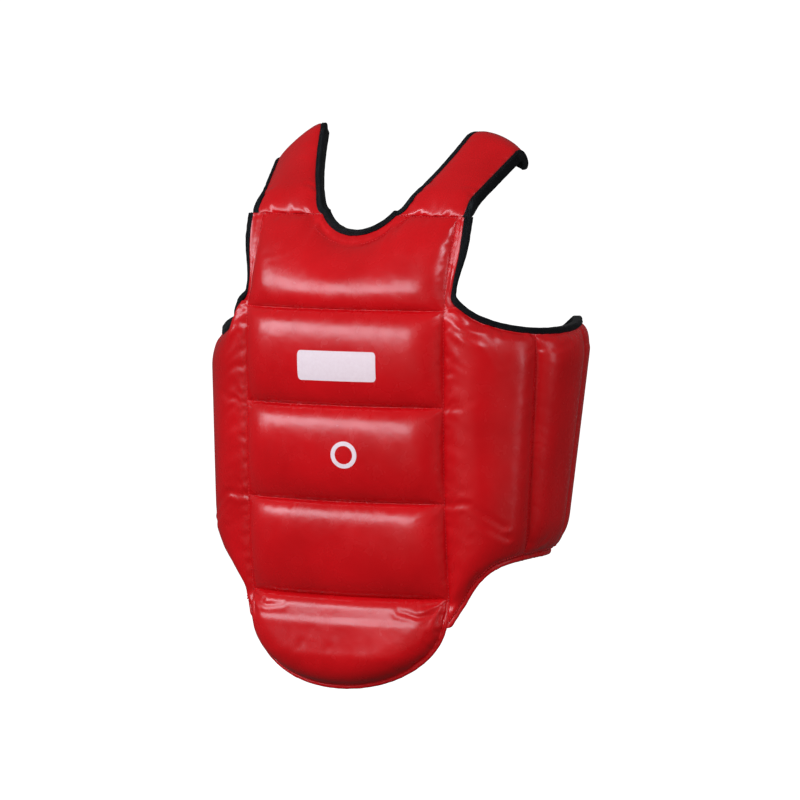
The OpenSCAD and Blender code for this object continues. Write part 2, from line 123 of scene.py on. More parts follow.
BAND_W = 50
BAND_T = 2
BAND_Z = {"upper": 300, "lower": 190}
BAND_MID_S = WING_END_S + 50
BAND_MID_T = 14
TAB_BASE_T = WING_PAD + 1.6
PEEL_S = WING_END_S - 22
TAB_END_S = PEEL_S - 38
YOKE_HALF = 88
YOKE_TOP = 334
SHOULDER_X = 68
SHOULDER_W = 34
SHOULDER_L = 175
SHOULDER_TAB_L = 40
YOKE_T = 2.0
TAB_T = 1.6
LOOP_T = 1.1
SHOULDER_T = 1.8
SHOULDER_TAB_T = 2.6

# stitch runs lie this far above the leather; FAR stands for no seam near
STITCH_RISE = 0.3
FAR = 99

# each fold zone spans this distance from its seam
FOLD_W = 9
STRAP_FOLD = 12
CORNER_FOLD = 28
JOINT_Z = 290
JOINT_T = 3

# how the leather settles as cloth: held back, bending stiffness, pressure, furthest move
CLOTH_HOLD = 0.4
CLOTH_BEND = 6
CLOTH_PRESSURE = 3
CLOTH_SCALE = 10
SETTLE_CAP = 2
SLIDE_CAP = 0.8

KEY_TINT = (0.80, 0.90, 1.0)
FILL_TINT = (1.0, 0.88, 0.86)


# ---------------------------------------------------------------- torso surface
def _arc_radii():
    """Radii of the flat front arc and of the round side arc that meets it smoothly."""
    sn, cs = math.sin(FRONT_ARC), math.cos(FRONT_ARC)
    det = sn * cs - (1 - sn) * (1 - cs)
    front = (TORSO_HALF_W * cs - TORSO_HALF_D * (1 - sn)) / det
    side = (TORSO_HALF_D * sn - TORSO_HALF_W * (1 - cs)) / det
    return front, side


FRONT_R, SIDE_R = _arc_radii()
FRONT_LEN = FRONT_R * FRONT_ARC
SIDE_LEN = FRONT_LEN + SIDE_R * (math.pi - 2 * FRONT_ARC)


def smooth(x, a, b):
    """An eased step: 0 at a, 1 at b."""
    u = np.clip((x - a) / (b - a), 0, 1)
    return u * u * (3 - 2 * u)


def heading(a):
    """Angle of the torso outline's normal, from the front, at distance a round it."""
    return np.where(a <= FRONT_LEN, a / FRONT_R, np.where(
        a <= SIDE_LEN, FRONT_ARC + (a - FRONT_LEN) / SIDE_R,
        math.pi - FRONT_ARC + (a - SIDE_LEN) / FRONT_R))


def bow(z):
    """How far the front lies back from its belly, by height."""
    low = 12 * (np.clip(BELLY_Z - z, 0, BELLY_Z - FLAP_SEAM_Z) / (BELLY_Z - FLAP_SEAM_Z)) ** 2
    high = 25 * (np.maximum(z - LEAN_Z, 0) / 100) ** 1.15
    return low + high - 6 * smooth(FLAP_SEAM_Z - z, 0, 30)


def lean(s, z):
    """How much further the chest leans back at its middle than at its sides."""
    middle = np.maximum(0, 1 - (np.abs(s) / 131) ** 2)
    return 27 * (np.maximum(0, z - LEAN_Z) / 100) ** 1.3 * middle


def at(s, z, t):
    """Point (..., 3) at s round the torso, height z, t outwards."""
    s, z, t = np.broadcast_arrays(*(np.asarray(v, float) for v in (s, z, t)))
    a, h = np.abs(s), heading(np.abs(s))
    front, back = h <= FRONT_ARC, h > math.pi - FRONT_ARC
    gap = FRONT_R - SIDE_R
    cx = np.where(front | back, 0, gap * math.sin(FRONT_ARC))
    cy = np.where(front, FRONT_R - TORSO_HALF_D, np.where(
        back, TORSO_HALF_D - FRONT_R,
        FRONT_R - TORSO_HALF_D - gap * math.cos(FRONT_ARC)))
    taper = WING_TAPER * (350 - z) * smooth(a, 150, 260)
    r = np.where(front | back, FRONT_R, SIDE_R) + t - taper
    x = np.where(s < 0, -1, 1) * (cx + r * np.sin(h))
    y = cy - r * np.cos(h) + bow(z) * (1 - smooth(a, 128, 205)) + lean(s, z)
    return np.stack([x, y, z], -1)


# ---------------------------------------------------------------- numbers and noise
def swell(d, reach, p=2.4, q=2.0):
    """Pad profile: 0 at the sewn edge, 1 at reach and beyond."""
    u = np.clip(1 - np.maximum(d, 0) / reach, 0, 1)
    return (1 - u ** p) ** (1 / q)


def crinkle(u, wave, seed):
    """Irregular ripple along u, about -1 to 1, with calm stretches between puckers."""
    rng = np.random.default_rng(seed)
    total = 0
    for stretch in (1, 0.71, 1.43, 2.3):
        total = total + rng.uniform(0.5, 1) * np.sin(
            2 * math.pi * u / (wave * stretch) + rng.uniform(0, 6.28))
    calm = 0.5 + 0.5 * np.sin(2 * math.pi * u / (wave * 7.3) + rng.uniform(0, 6.28))
    return total / 2.6 * (0.35 + 0.65 * calm)


def gathers(height, u, wave, seed, d, reach, start):
    """Puckers along u beside a seam d away: they begin start from it and fade over reach."""
    return height * crinkle(u, wave, seed) * np.exp(-d / reach) * smooth(d, 0, start)


def line_distance(s, z, points):
    """Distance from (s, z) to a polyline, negative on its left."""
    best = np.full(np.broadcast(s, z).shape, 1e9)
    sign = np.zeros_like(best)
    for (s0, z0), (s1, z1) in zip(points, points[1:]):
        ds, dz = s1 - s0, z1 - z0
        u = np.clip(((s - s0) * ds + (z - z0) * dz) / (ds * ds + dz * dz), 0, 1)
        off_s, off_z = s - s0 - u * ds, z - z0 - u * dz
        d = np.hypot(off_s, off_z)
        sign = np.where(d < best, np.sign(off_s * dz - off_z * ds), sign)
        best = np.minimum(best, d)
    return best * sign


def creases(s, z, folds):
    """Soft folds, each (points of a polyline, width, depth): a groove and a low ridge beside it."""
    total = 0
    for points, width, depth in folds:
        side = line_distance(s, z, points)
        total = total + depth * (0.6 * np.exp(-((side - 1.6 * width) / width) ** 2)
                                 - np.exp(-(side / width) ** 2))
    return total


def pucker(s, z, at_s, at_z, reach, height, rays, seed):
    """Ridges that radiate from a point where seams meet."""
    rng = np.random.default_rng(seed)
    ds, dz = s - at_s, z - at_z
    d = np.hypot(ds, dz)
    angle = np.arctan2(dz, ds)
    turn = rng.uniform(0, 6.28)
    wave = np.cos(rays * angle + turn) + 0.6 * np.cos((rays * 1.7 // 1) * angle + 2 * turn)
    fade = np.exp(-(d / reach) ** 2) * smooth(d, 0, reach * 0.35)
    return height * wave * fade


def spaced(a, b, step, close=(0, 0.8, 1.9, 3.4, 5.4, 7.9)):
    """Values from a to b, close together at both ends and about step apart between."""
    first, last = a + np.array(close), b - np.array(close)[::-1]
    n = max(1, round((last[0] - first[-1]) / step))
    middle = np.linspace(first[-1], last[0], n + 1)[1:-1]
    return np.concatenate([first, middle, last])


# ---------------------------------------------------------------- meshes
SETTLED = {}


def mesh_object(name, points, faces, sharp=None):
    """A smooth shaded mesh object from points in millimetres."""
    mesh = bpy.data.meshes.new(name)
    points = np.asarray(points, float).reshape(-1, 3) * MM
    mesh.from_pydata(points.tolist(), [], [list(map(int, f)) for f in faces])
    mesh.polygons.foreach_set("use_smooth", [True] * len(mesh.polygons))
    mesh.update()
    obj = bpy.data.objects.new(name, mesh)
    bpy.context.scene.collection.objects.link(obj)
    if sharp is not None:
        mark_edges(mesh, sharp)
    return obj


def mark_edges(mesh, loop):
    """Keep the closed loops of vertices in loop sharp, in shading and when subdivided."""
    wanted = {frozenset(pair) for ring in loop for pair in zip(ring, np.roll(ring, -1))}
    flags = [frozenset(e.vertices) in wanted for e in mesh.edges]
    mesh.attributes.new("sharp_edge", "BOOLEAN", "EDGE").data.foreach_set("value", flags)
    crease_of = mesh.attributes.new("crease_edge", "FLOAT", "EDGE")
    crease_of.data.foreach_set("value", [1.0 if f else 0.0 for f in flags])


def shell(name, outer, inner):
    """A closed sheet between two grids of points (columns, rows, 3)."""
    nu, nv = outer.shape[:2]
    ids = np.arange(nu * nv).reshape(nu, nv)
    a, b, c, d = ids[:-1, :-1], ids[1:, :-1], ids[1:, 1:], ids[:-1, 1:]
    front = np.stack([a, b, c, d], -1).reshape(-1, 4)
    back = np.stack([a, d, c, b], -1).reshape(-1, 4) + nu * nv
    ring = np.concatenate([ids[:, 0], ids[-1, 1:], ids[-2::-1, -1], ids[0, -2:0:-1]])
    after = np.roll(ring, -1)
    sides = np.stack([ring, ring + nu * nv, after + nu * nv, after], -1)
    points = np.concatenate([outer.reshape(-1, 3), inner.reshape(-1, 3)])
    return mesh_object(name, points, np.concatenate([front, back, sides]),
                       sharp=[ring, ring + nu * nv])


def refine(obj, levels=1):
    """Applies a subdivision surface."""
    obj.modifiers.new("refine", "SUBSURF").levels = levels
    apply_modifiers(obj)
    return obj


def apply_modifiers(obj):
    graph = bpy.context.evaluated_depsgraph_get()
    mesh = bpy.data.meshes.new_from_object(obj.evaluated_get(graph))
    old = obj.data
    obj.modifiers.clear()
    obj.data = mesh
    mesh.name = old.name
    bpy.data.meshes.remove(old)


def settle(key, s, z, outer, seam_d, gather, slack=0.05, reach=11, frames=16):
    """Lets a cover's leather settle as cloth over its padding, and returns its new grid.
    It is pinned where it is sewn down, seam_d away; gather (0..1) is its slackness beside that.
    Cloth works at CLOTH_SCALE times the real size, where its steps are stable."""
    scene = bpy.context.scene
    ids = np.arange(outer[..., 0].size).reshape(outer.shape[:2])
    faces = np.stack([ids[:-1, :-1], ids[1:, :-1], ids[1:, 1:], ids[:-1, 1:]], -1).reshape(-1, 4)
    sheet = mesh_object("settling", outer * CLOTH_SCALE, faces)
    weights = {"sewn": np.where(seam_d < 0.5, 1, CLOTH_HOLD),
               "taut": 1 - gather * np.exp(-(seam_d / reach) ** 2)}
    for name, weight in weights.items():
        group = sheet.vertex_groups.new(name=name)
        levels = np.round(weight.ravel() * 20) / 20
        for level in np.unique(levels):
            group.add(np.flatnonzero(levels == level).tolist(), float(level), "REPLACE")
    cloth = sheet.modifiers.new("cloth", "CLOTH")
    settings = dict(quality=6, vertex_group_mass="sewn", pin_stiffness=1, vertex_group_shrink="taut",
                    tension_stiffness=25, compression_stiffness=25, shear_stiffness=10,
                    bending_stiffness=CLOTH_BEND, shrink_min=-slack, shrink_max=0,
                    use_pressure=True, uniform_pressure_force=CLOTH_PRESSURE)
    for setting, value in settings.items():
        setattr(cloth.settings, setting, value)
    cloth.settings.effector_weights.gravity = 0
    cloth.collision_settings.use_collision = False
    cloth.point_cache.frame_end = frames
    for step in range(1, frames + 1):
        scene.frame_set(step)
    settled = sheet.evaluated_get(bpy.context.evaluated_depsgraph_get()).to_mesh()
    points = np.empty(outer.size)
    settled.vertices.foreach_get("co", points)
    bpy.data.meshes.remove(sheet.data)
    scene.frame_set(1)
    moved = points.reshape(outer.shape) / MM / CLOTH_SCALE - outer
    normal = grid_normals(outer)
    rise = np.sum(moved * normal, -1, keepdims=True)
    slide = moved - normal * rise
    moved = normal * SETTLE_CAP * np.tanh(rise / SETTLE_CAP)
    moved += np.clip(slide, -SLIDE_CAP, SLIDE_CAP)
    SETTLED[key] = s.ravel(), z.ravel(), moved.reshape(-1, 3)
    return outer + moved


def settled_shift(key, s, z):
    """How far the cover called key moved at the points (s, z)."""
    if key not in SETTLED:
        return np.zeros(np.shape(s) + (3,))
    s0, z0, moved = SETTLED[key]
    flat = np.stack([np.ravel(s), np.ravel(z)], -1)
    shift = []
    for block in np.array_split(flat, max(1, len(flat) // 400)):
        d = np.hypot(block[:, :1] - s0, block[:, 1:] - z0) + 0.05
        near = np.argpartition(d, 4, axis=1)[:, :4]
        w = 1 / np.take_along_axis(d, near, 1) ** 2
        shift.append(np.sum(moved[near] * (w / w.sum(1, keepdims=True))[..., None], 1))
    return np.concatenate(shift).reshape(np.shape(s) + (3,))


def unit(v):
    return v / np.maximum(np.linalg.norm(v, axis=-1, keepdims=True), 1e-9)


def grid_normals(grid):
    """Outward normals of a grid whose columns run round and rows run up."""
    return unit(np.cross(np.gradient(grid, axis=0), np.gradient(grid, axis=1)))


def sweep(name, path, across, up, profile, ends=True):
    """A tube: profile is (points, 2) or (path, points, 2) of across and up distances."""
    n = len(path)
    profile = np.broadcast_to(profile, (n,) + np.shape(profile)[-2:])
    m = profile.shape[1]
    rings = (path[:, None] + across[:, None] * profile[..., :1] + up[:, None] * profile[..., 1:])
    ids = np.arange(n * m).reshape(n, m)
    nxt = np.roll(ids, -1, axis=1)
    faces = np.stack([ids[:-1], nxt[:-1], nxt[1:], ids[1:]], -1).reshape(-1, 4).tolist()
    if ends:
        faces += [ids[0, ::-1].tolist(), ids[-1].tolist()]
    return mesh_object(name, rings, faces, sharp=[ids[0], ids[-1]] if ends else None)


def rounded(w0, w1, h0, h1, radius, steps=4):
    """A rounded rectangle profile, anticlockwise, from w0..w1 and h0..h1."""
    corners = [(w1, h0, -90), (w1, h1, 0), (w0, h1, 90), (w0, h0, 180)]
    points = []
    for w, h, start in corners:
        cw = w + (radius if w == w0 else -radius)
        ch = h + (radius if h == h0 else -radius)
        for k in range(steps + 1):
            angle = math.radians(start + 90 * k / steps)
            points.append((cw + radius * math.cos(angle), ch + radius * math.sin(angle)))
    return np.array(points)


def resample(path, step):
    """Points about step apart along a polyline of (..., k) points."""
    length = np.concatenate([[0], np.cumsum(np.linalg.norm(np.diff(path, axis=0), axis=1))])
    n = max(2, round(length[-1] / step) + 1)
    where = np.linspace(0, length[-1], n)
    return np.stack([np.interp(where, length, path[:, k]) for k in range(path.shape[1])], -1)


def stitches(name, runs, pitch=3.4, length=2.2, radius=0.52):
    """Short thread pills along runs of (path, normals); each pill dips at both ends."""
    points, faces = [], []
    ring = 6
    angles = np.arange(ring) * 2 * math.pi / ring
    stations = [(-0.5, 0.45, -0.25), (-0.36, 0.9, 0.1), (0, 1, 0.35), (0.36, 0.9, 0.1),
                (0.5, 0.45, -0.25)]
    for path, normals in runs:
        both = resample(np.concatenate([path, normals], 1), pitch)
        centre, normal = both[:, :3], unit(both[:, 3:])
        along = unit(np.gradient(centre, axis=0))
        side = unit(np.cross(normal, along))
        for c, u, v, w in zip(centre, along, side, normal):
            start = len(points)
            for offset, scale, rise in stations:
                p = c + u * offset * length + w * rise * radius
                points += [p + (v * math.cos(q) + w * math.sin(q)) * radius * scale
                           for q in angles]
            for k in range(len(stations) - 1):
                for j in range(ring):
                    a, b = start + k * ring + j, start + k * ring + (j + 1) % ring
                    faces.append((a, b, b + ring, a + ring))
            faces.append(tuple(start + j for j in reversed(range(ring))))
            faces.append(tuple(start + (len(stations) - 1) * ring + j for j in range(ring)))
    return mesh_object(name, np.array(points), faces)


# ---------------------------------------------------------------- materials
def new_material(name, base, roughness, **sockets):
    """A principled material; returns it with its node tree and shader node."""
    mat = bpy.data.materials.new(name)
    mat.use_nodes = True
    shader = mat.node_tree.nodes["Principled BSDF"]
    shader.inputs["Base Color"].default_value = (*base, 1)
    shader.inputs["Roughness"].default_value = roughness
    for socket, value in sockets.items():
        shader.inputs[socket.replace("_", " ")].default_value = value
    return mat, mat.node_tree, shader


def object_noise(tree, scale, detail=3.0, stretch=(1, 1, 1)):
    """Noise in the object's own space, in features per metre."""
    place = tree.nodes.new("ShaderNodeTexCoord")
    scaled = tree.nodes.new("ShaderNodeMapping")
    scaled.inputs["Scale"].default_value = stretch
    noise = tree.nodes.new("ShaderNodeTexNoise")
    noise.inputs["Scale"].default_value = scale
    noise.inputs["Detail"].default_value = detail
    tree.links.new(place.outputs["Object"], scaled.inputs["Vector"])
    tree.links.new(scaled.outputs["Vector"], noise.inputs["Vector"])
    return noise.outputs["Fac"]


def tint(tree, shader, source, *stops):
    """Colours the shader by source through a ramp between two stops (position, colour)."""
    node = tree.nodes.new("ShaderNodeValToRGB")
    for element, (position, colour) in zip(node.color_ramp.elements, stops):
        element.position, element.color = position, (*colour, 1)
    tree.links.new(source, node.inputs["Fac"])
    tree.links.new(node.outputs["Color"], shader.inputs["Base Color"])


def map_range(tree, source, low, high, to_low, to_high):
    """Maps source from low..high to to_low..to_high; returns the node."""
    node = tree.nodes.new("ShaderNodeMapRange")
    node.inputs["From Min"].default_value = low
    node.inputs["From Max"].default_value = high
    node.inputs["To Min"].default_value = to_low
    node.inputs["To Max"].default_value = to_high
    tree.links.new(source, node.inputs["Value"])
    return node


def bump(tree, shader, layers):
    """Stacks bump layers, each (height socket, strength, distance in metres)."""
    normal = None
    for height, strength, distance in layers:
        node = tree.nodes.new("ShaderNodeBump")
        node.inputs["Strength"].default_value = strength
        node.inputs["Distance"].default_value = distance
        tree.links.new(height, node.inputs["Height"])
        if normal is not None:
            tree.links.new(normal, node.inputs["Normal"])
        normal = node.outputs["Normal"]
    tree.links.new(normal, shader.inputs["Normal"])


def leather(name, dark, light, roughness):
    """Glossy coated leather with a fine pebble grain and slight unevenness."""
    mat, tree, shader = new_material(name, light, roughness, Specular_IOR_Level=0.45)
    tint(tree, shader, object_noise(tree, 14, 4), (0.3, dark), (0.7, light))
    patches = map_range(tree, object_noise(tree, 60, 2), 0.3, 0.7, roughness - 0.035, roughness + 0.045)
    tree.links.new(patches.outputs["Result"], shader.inputs["Roughness"])
    grain, waves = object_noise(tree, 900, 3), object_noise(tree, 45, 2)
    bump(tree, shader, [(waves, 0.12, 0.004), (grain, 0.05, 0.0006)])
    return mat


def woven(name, colour, roughness, threads, depth, sheen=0.25, stretch=(1, 1, 1)):
    """Cloth: two crossed thread directions, worked out from the object's own space."""
    mat, tree, shader = new_material(name, colour, roughness, Specular_IOR_Level=0.12)
    shader.inputs["Sheen Weight"].default_value = sheen
    shader.inputs["Sheen Roughness"].default_value = 0.5
    place = tree.nodes.new("ShaderNodeTexCoord")
    heights = []
    for direction in ("Z", "DIAGONAL"):
        wave = tree.nodes.new("ShaderNodeTexWave")
        wave.wave_type = "BANDS"
        wave.bands_direction = direction
        wave.inputs["Scale"].default_value = threads
        wave.inputs["Distortion"].default_value = 0.6
        wave.inputs["Detail"].default_value = 1
        scaled = tree.nodes.new("ShaderNodeMapping")
        scaled.inputs["Scale"].default_value = stretch
        tree.links.new(place.outputs["Object"], scaled.inputs["Vector"])
        tree.links.new(scaled.outputs["Vector"], wave.inputs["Vector"])
        heights.append(wave.outputs["Fac"])
    both = tree.nodes.new("ShaderNodeMath")
    both.operation = "MAXIMUM"
    for k, height in enumerate(heights):
        tree.links.new(height, both.inputs[k])
    tone = object_noise(tree, 90, 4)
    light = tuple(c * 1.7 + 0.002 for c in colour)
    tint(tree, shader, tone, (0.3, colour), (0.75, light))
    bump(tree, shader, [(both.outputs[0], 0.55, depth), (tone, 0.15, 0.0008)])
    return mat


def fuzzy(name, colour, scale, depth):
    """Hook and loop pile."""
    mat, tree, shader = new_material(name, colour, 0.85, Specular_IOR_Level=0.2)
    shader.inputs["Sheen Weight"].default_value = 0.12
    shader.inputs["Sheen Roughness"].default_value = 0.6
    pile = object_noise(tree, scale, 6)
    light = tuple(c * 2.4 + 0.004 for c in colour)
    tint(tree, shader, pile, (0.35, colour), (0.7, light))
    bump(tree, shader, [(pile, 0.9, depth)])
    return mat


def foam_material():
    """Pale closed cell foam."""
    mat, tree, shader = new_material("foam", (0.72, 0.69, 0.56), 0.9, Specular_IOR_Level=0.2)
    cells = tree.nodes.new("ShaderNodeTexVoronoi")
    cells.inputs["Scale"].default_value = 700
    place = tree.nodes.new("ShaderNodeTexCoord")
    tree.links.new(place.outputs["Object"], cells.inputs["Vector"])
    walls = cells.outputs["Distance"]
    tint(tree, shader, walls, (0.0, (0.5, 0.47, 0.36)), (0.5, (0.78, 0.75, 0.62)))
    bump(tree, shader, [(walls, 0.6, 0.001)])
    return mat


def print_material():
    """White printing ink on red leather."""
    mat, tree, shader = new_material("white_print", (0.78, 0.74, 0.76), 0.38, Specular_IOR_Level=0.4)
    noise = object_noise(tree, 300, 4)
    tint(tree, shader, noise, (0.3, (0.84, 0.68, 0.71)), (0.7, (0.88, 0.73, 0.76)))
    bump(tree, shader, [(noise, 0.15, 0.0004)])
    return mat


RED = leather("red_leather", (0.52, 0.0030, 0.0055), (0.63, 0.0040, 0.0075), 0.25)
PIPING = leather("red_piping", (0.50, 0.0030, 0.0055), (0.62, 0.0040, 0.0075), 0.34)
THREAD = woven("red_thread", (0.50, 0.012, 0.018), 0.5, 900, 0.0002, sheen=0.1)
NYLON = woven("black_binding", (0.0025, 0.003, 0.0038), 0.36, 420, 0.0005, sheen=0.01)
LINING_CLOTH = woven("black_lining", (0.010, 0.011, 0.013), 0.5, 260, 0.0004, sheen=0.03)
ELASTIC = woven("black_elastic", (0.014, 0.015, 0.016), 0.6, 150, 0.0011, sheen=0.05,
                stretch=(1, 1, 2.2))
BLACK_THREAD = woven("black_thread", (0.008, 0.009, 0.011), 0.45, 900, 0.0002, sheen=0.02)
LOOP = fuzzy("loop_tape", (0.010, 0.0105, 0.011), 420, 0.0016)
HOOK = fuzzy("hook_tape", (0.016, 0.0165, 0.017), 900, 0.0010)
FOAM = foam_material()
PRINT = print_material()


def finish_piece(obj, material, body):
    """Gives a finished mesh its material and slot. A body name rides it on that body; a fold zone
    (first body, second body, start, end) only bakes its transform in place. It stands for the CAD node of
    its own name."""
    obj.data.materials.clear()
    obj.data.materials.append(material)
    if isinstance(body, str):
        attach(obj, body)
    else:
        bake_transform(obj)
    node = obj.name.split(".")[0]
    if node in CAD_NODES:
        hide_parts(node)
    return obj


def sew(name, runs, thread, body, **sizes):
    """Stitches along runs, finished; sizes are those of stitches()."""
    finish_piece(stitches(name, runs, **sizes), thread, body)


# ---------------------------------------------------------------- fold zones
def wing_zone(side, name):
    """The fold zone of a wing channel: the channel before it, the channel, and a span along its first
    seam.
    """
    sign = SIDES[side]
    first = {"front": "front", "side": f"{side}_front_wing", "rear": f"{side}_side_wing"}[name]
    s = {"front": PANEL_HALF, "side": SIDE_SEAM_S, "rear": REAR_SEAM_S}[name]
    start = at(sign * s, JOINT_Z, JOINT_T)
    if name == "front":
        end = np.array([at(sign * (s + FOLD_W), JOINT_Z, JOINT_T)[0], start[1], start[2]])
    else:
        turn = heading(s)
        end = start + FOLD_W * np.array([sign * math.cos(turn), math.sin(turn), 0])
    return first, f"{side}_{name}_wing", start, end


def armhole_zone(side):
    """The fold zone at the foot of the armhole edge, between the front and the wing below it."""
    start = at(SIDES[side] * 125, ARMHOLE_Z + CORNER_FOLD, JOINT_T)
    return "front", f"{side}_front_wing", start, start - np.array([0, 0, CORNER_FOLD])


def strap_zone(side):
    start = at(SIDES[side] * 82, STRAP_SEAM_Z, JOINT_T)
    return "front", f"{side}_strap", start, start + np.array([0, 0, STRAP_FOLD])


def flap_zone():
    start = at(0, FLAP_SEAM_Z, JOINT_T)
    return "front", "flap", start, start - np.array([0, 0, FOLD_W])


# ---------------------------------------------------------------- front panel
def seam_z(k):
    """Height of the cross seam below rib k, where rib 3 is the chest pad."""
    return FLAP_SEAM_Z + k * RIB_H


def strip_line(z):
    """s of the side seam, which becomes the stitch line inside the armhole edge."""
    return PANEL_HALF - 1.5 * smooth(z, ARMHOLE_Z - 4, ARMHOLE_Z + 16)


def strip_edge(z):
    """s of the cover's edge along the armhole."""
    return 123.5 + 3 * smooth(z, 415, 455) + 6.5 * (np.maximum(0, 409 - z) / 12) ** 2


def neck_line(s, r):
    return NECK_Z - np.sqrt(np.maximum(0, r * r - s * s))


def chest_top(s):
    """Height of the chest's upper edge: the neck scoop, then the strap seams."""
    corner = math.sqrt(NECK_EDGE_R ** 2 - (NECK_Z - STRAP_SEAM_Z) ** 2)
    return np.where(np.abs(s) < corner, neck_line(s, NECK_EDGE_R), STRAP_SEAM_Z)


FRONT_CREASES = [([(-95, 446), (-70, 452), (-52, 458)], 3.5, 0.30),
                 ([(-88, 437), (-66, 441), (-50, 449)], 3.0, 0.22),
                 ([(60, 424), (66, 417), (70, 408)], 3.0, 0.25)]


def front_t(s, z):
    """Thickness of the front pad at a point, with its folds and puckers."""
    a = np.abs(s)
    k = np.clip(np.floor((z - FLAP_SEAM_Z) / RIB_H + 1e-6), 0, 3)
    low = z - FLAP_SEAM_Z - k * RIB_H
    chest = k == 3
    high = np.where(chest, chest_top(s) - z, RIB_H - low)
    side = strip_line(z) - a
    rib = swell(np.minimum(low, high), RIB_H / 2, 2.1, 1.9)
    lower = swell(low, 46, 2.1, 1.9)
    neck = 1 - smooth(a, 46, 62)
    upper = 0.04 + 0.96 * swell(high - STRIP_W * neck, 40, 2.0, 1.5)
    f = np.where(chest, lower * upper, rib) * (0.02 + 0.98 * swell(side, 44, 2.3, 1.25))
    t = SEAM_T + (FRONT_PAD - SEAM_T) * f
    t = t + 1.1 * neck * chest * np.sin(np.pi * np.clip(high / STRIP_W, 0, 1))
    seam_d = np.minimum(low, np.where(chest, FAR, high))
    t = t + gathers(0.30, s + 0.3 * z, 4.6, 3, seam_d, 4.5, 1.5)
    t = t + gathers(0.55, z + 0.45 * side, 6.5, 5, side, 8, 3)
    foot = np.where(chest & (a > 44), high, FAR)
    t = t + gathers(0.8, s, 4.3, 8, foot, 4, 2)
    crossings = [(sign * PANEL_HALF, seam_z(n)) for sign in (-1, 1) for n in range(4)]
    for n, (cs, cz) in enumerate(crossings):
        t = t + pucker(s, z, cs, cz, 15, 0.5, 9, 20 + n) * smooth(seam_d, 0, 3) * smooth(side, 0, 3)
    return t + creases(s, z, FRONT_CREASES)


def front_grid():
    """Columns of (s, z) over the front panel."""
    corner = math.sqrt(NECK_EDGE_R ** 2 - (NECK_Z - STRAP_SEAM_Z) ** 2)
    outer = spaced(corner, PANEL_HALF, 3.4)
    outer = outer[np.r_[0, 2:len(outer)]]
    inner = np.linspace(-corner, corner, 35)
    columns = np.concatenate([-outer[::-1], inner[1:-1], outer])
    ribs = [spaced(seam_z(k), seam_z(k + 1), 3.4) for k in range(3)]
    rows = np.concatenate([ribs[0], ribs[1][1:], ribs[2][1:]])
    chest = (spaced(CHEST_Z, STRAP_SEAM_Z, 3.2) - CHEST_Z) / (STRAP_SEAM_Z - CHEST_Z)
    s = np.repeat(columns[:, None], len(rows) + len(chest) - 1, 1)
    top = CHEST_Z + (chest_top(columns) - CHEST_Z)[:, None] * chest[None, 1:]
    z = np.concatenate([np.repeat(rows[None], len(columns), 0), top], 1)
    return s * strip_line(z) / PANEL_HALF, z


def strip_grid(sign):
    """Columns of (s, z) over the strip beside an armhole, from its edge to the stitch line."""
    rows = spaced(ARMHOLE_Z, STRAP_SEAM_Z, 2.2)
    across = np.linspace(0, 1, 11)
    s = strip_line(rows) + (strip_edge(rows) - strip_line(rows)) * across[:, None]
    z = np.repeat(rows[None], len(across), 0)
    if sign < 0:
        return -s[::-1], z
    return s, z


def strip_t(s, z):
    """The armhole edge strip: two long ridges, thicker towards the strap."""
    a = np.abs(s)
    u = np.clip((a - strip_line(z)) / (strip_edge(z) - strip_line(z)), 0, 1)
    base = front_t(strip_line(z), z)
    rim = PINCH + 1.5 + 6 * smooth(z, ARMHOLE_Z + 18, STRAP_SEAM_Z - 10)
    ridges = 0.8 * np.abs(np.sin(2 * math.pi * u)) * smooth(z, ARMHOLE_Z + 4, ARMHOLE_Z + 22)
    ripple = 0.5 * crinkle(z + 4 * u, 6.5, 12) * np.sin(np.pi * u)
    return base + (rim - base) * smooth(u, 0, 1) + ridges * np.sqrt(np.maximum(0, u)) + ripple


def cover_sheet(name, s, z, t, seam_d=None, gather=1.0):
    """A leather sheet of its real thickness over the grid (s, z), settled if seam_d is given."""
    outer = at(s, z, t)
    if seam_d is not None:
        outer = settle(name, s, z, outer, np.maximum(seam_d, 0), gather)
    return shell(name, outer, outer - grid_normals(outer) * SKIN)


def lining_sheet(name, s, z, seam_d):
    """The lining behind a pad; the seams, seam_d away, draw it out towards the cover."""
    inner = at(s, z, SEAM_T - 5 - (SEAM_T - 3.5) * swell(seam_d, 26))
    return shell(name, inner + grid_normals(inner) * LINING * 0.9, inner)


def add_foam(name, s, z, t, body):
    """A foam slab between the lining and the cover, inside its sewn edges."""
    edge = np.full(s.shape, 0.3)
    edge[[0, -1]] = edge[:, [0, -1]] = 3.0
    foam = shell(name, at(s, z, np.maximum(t - SKIN - 0.5, edge + 0.6)), at(s, z, edge))
    finish_piece(foam, FOAM, body)


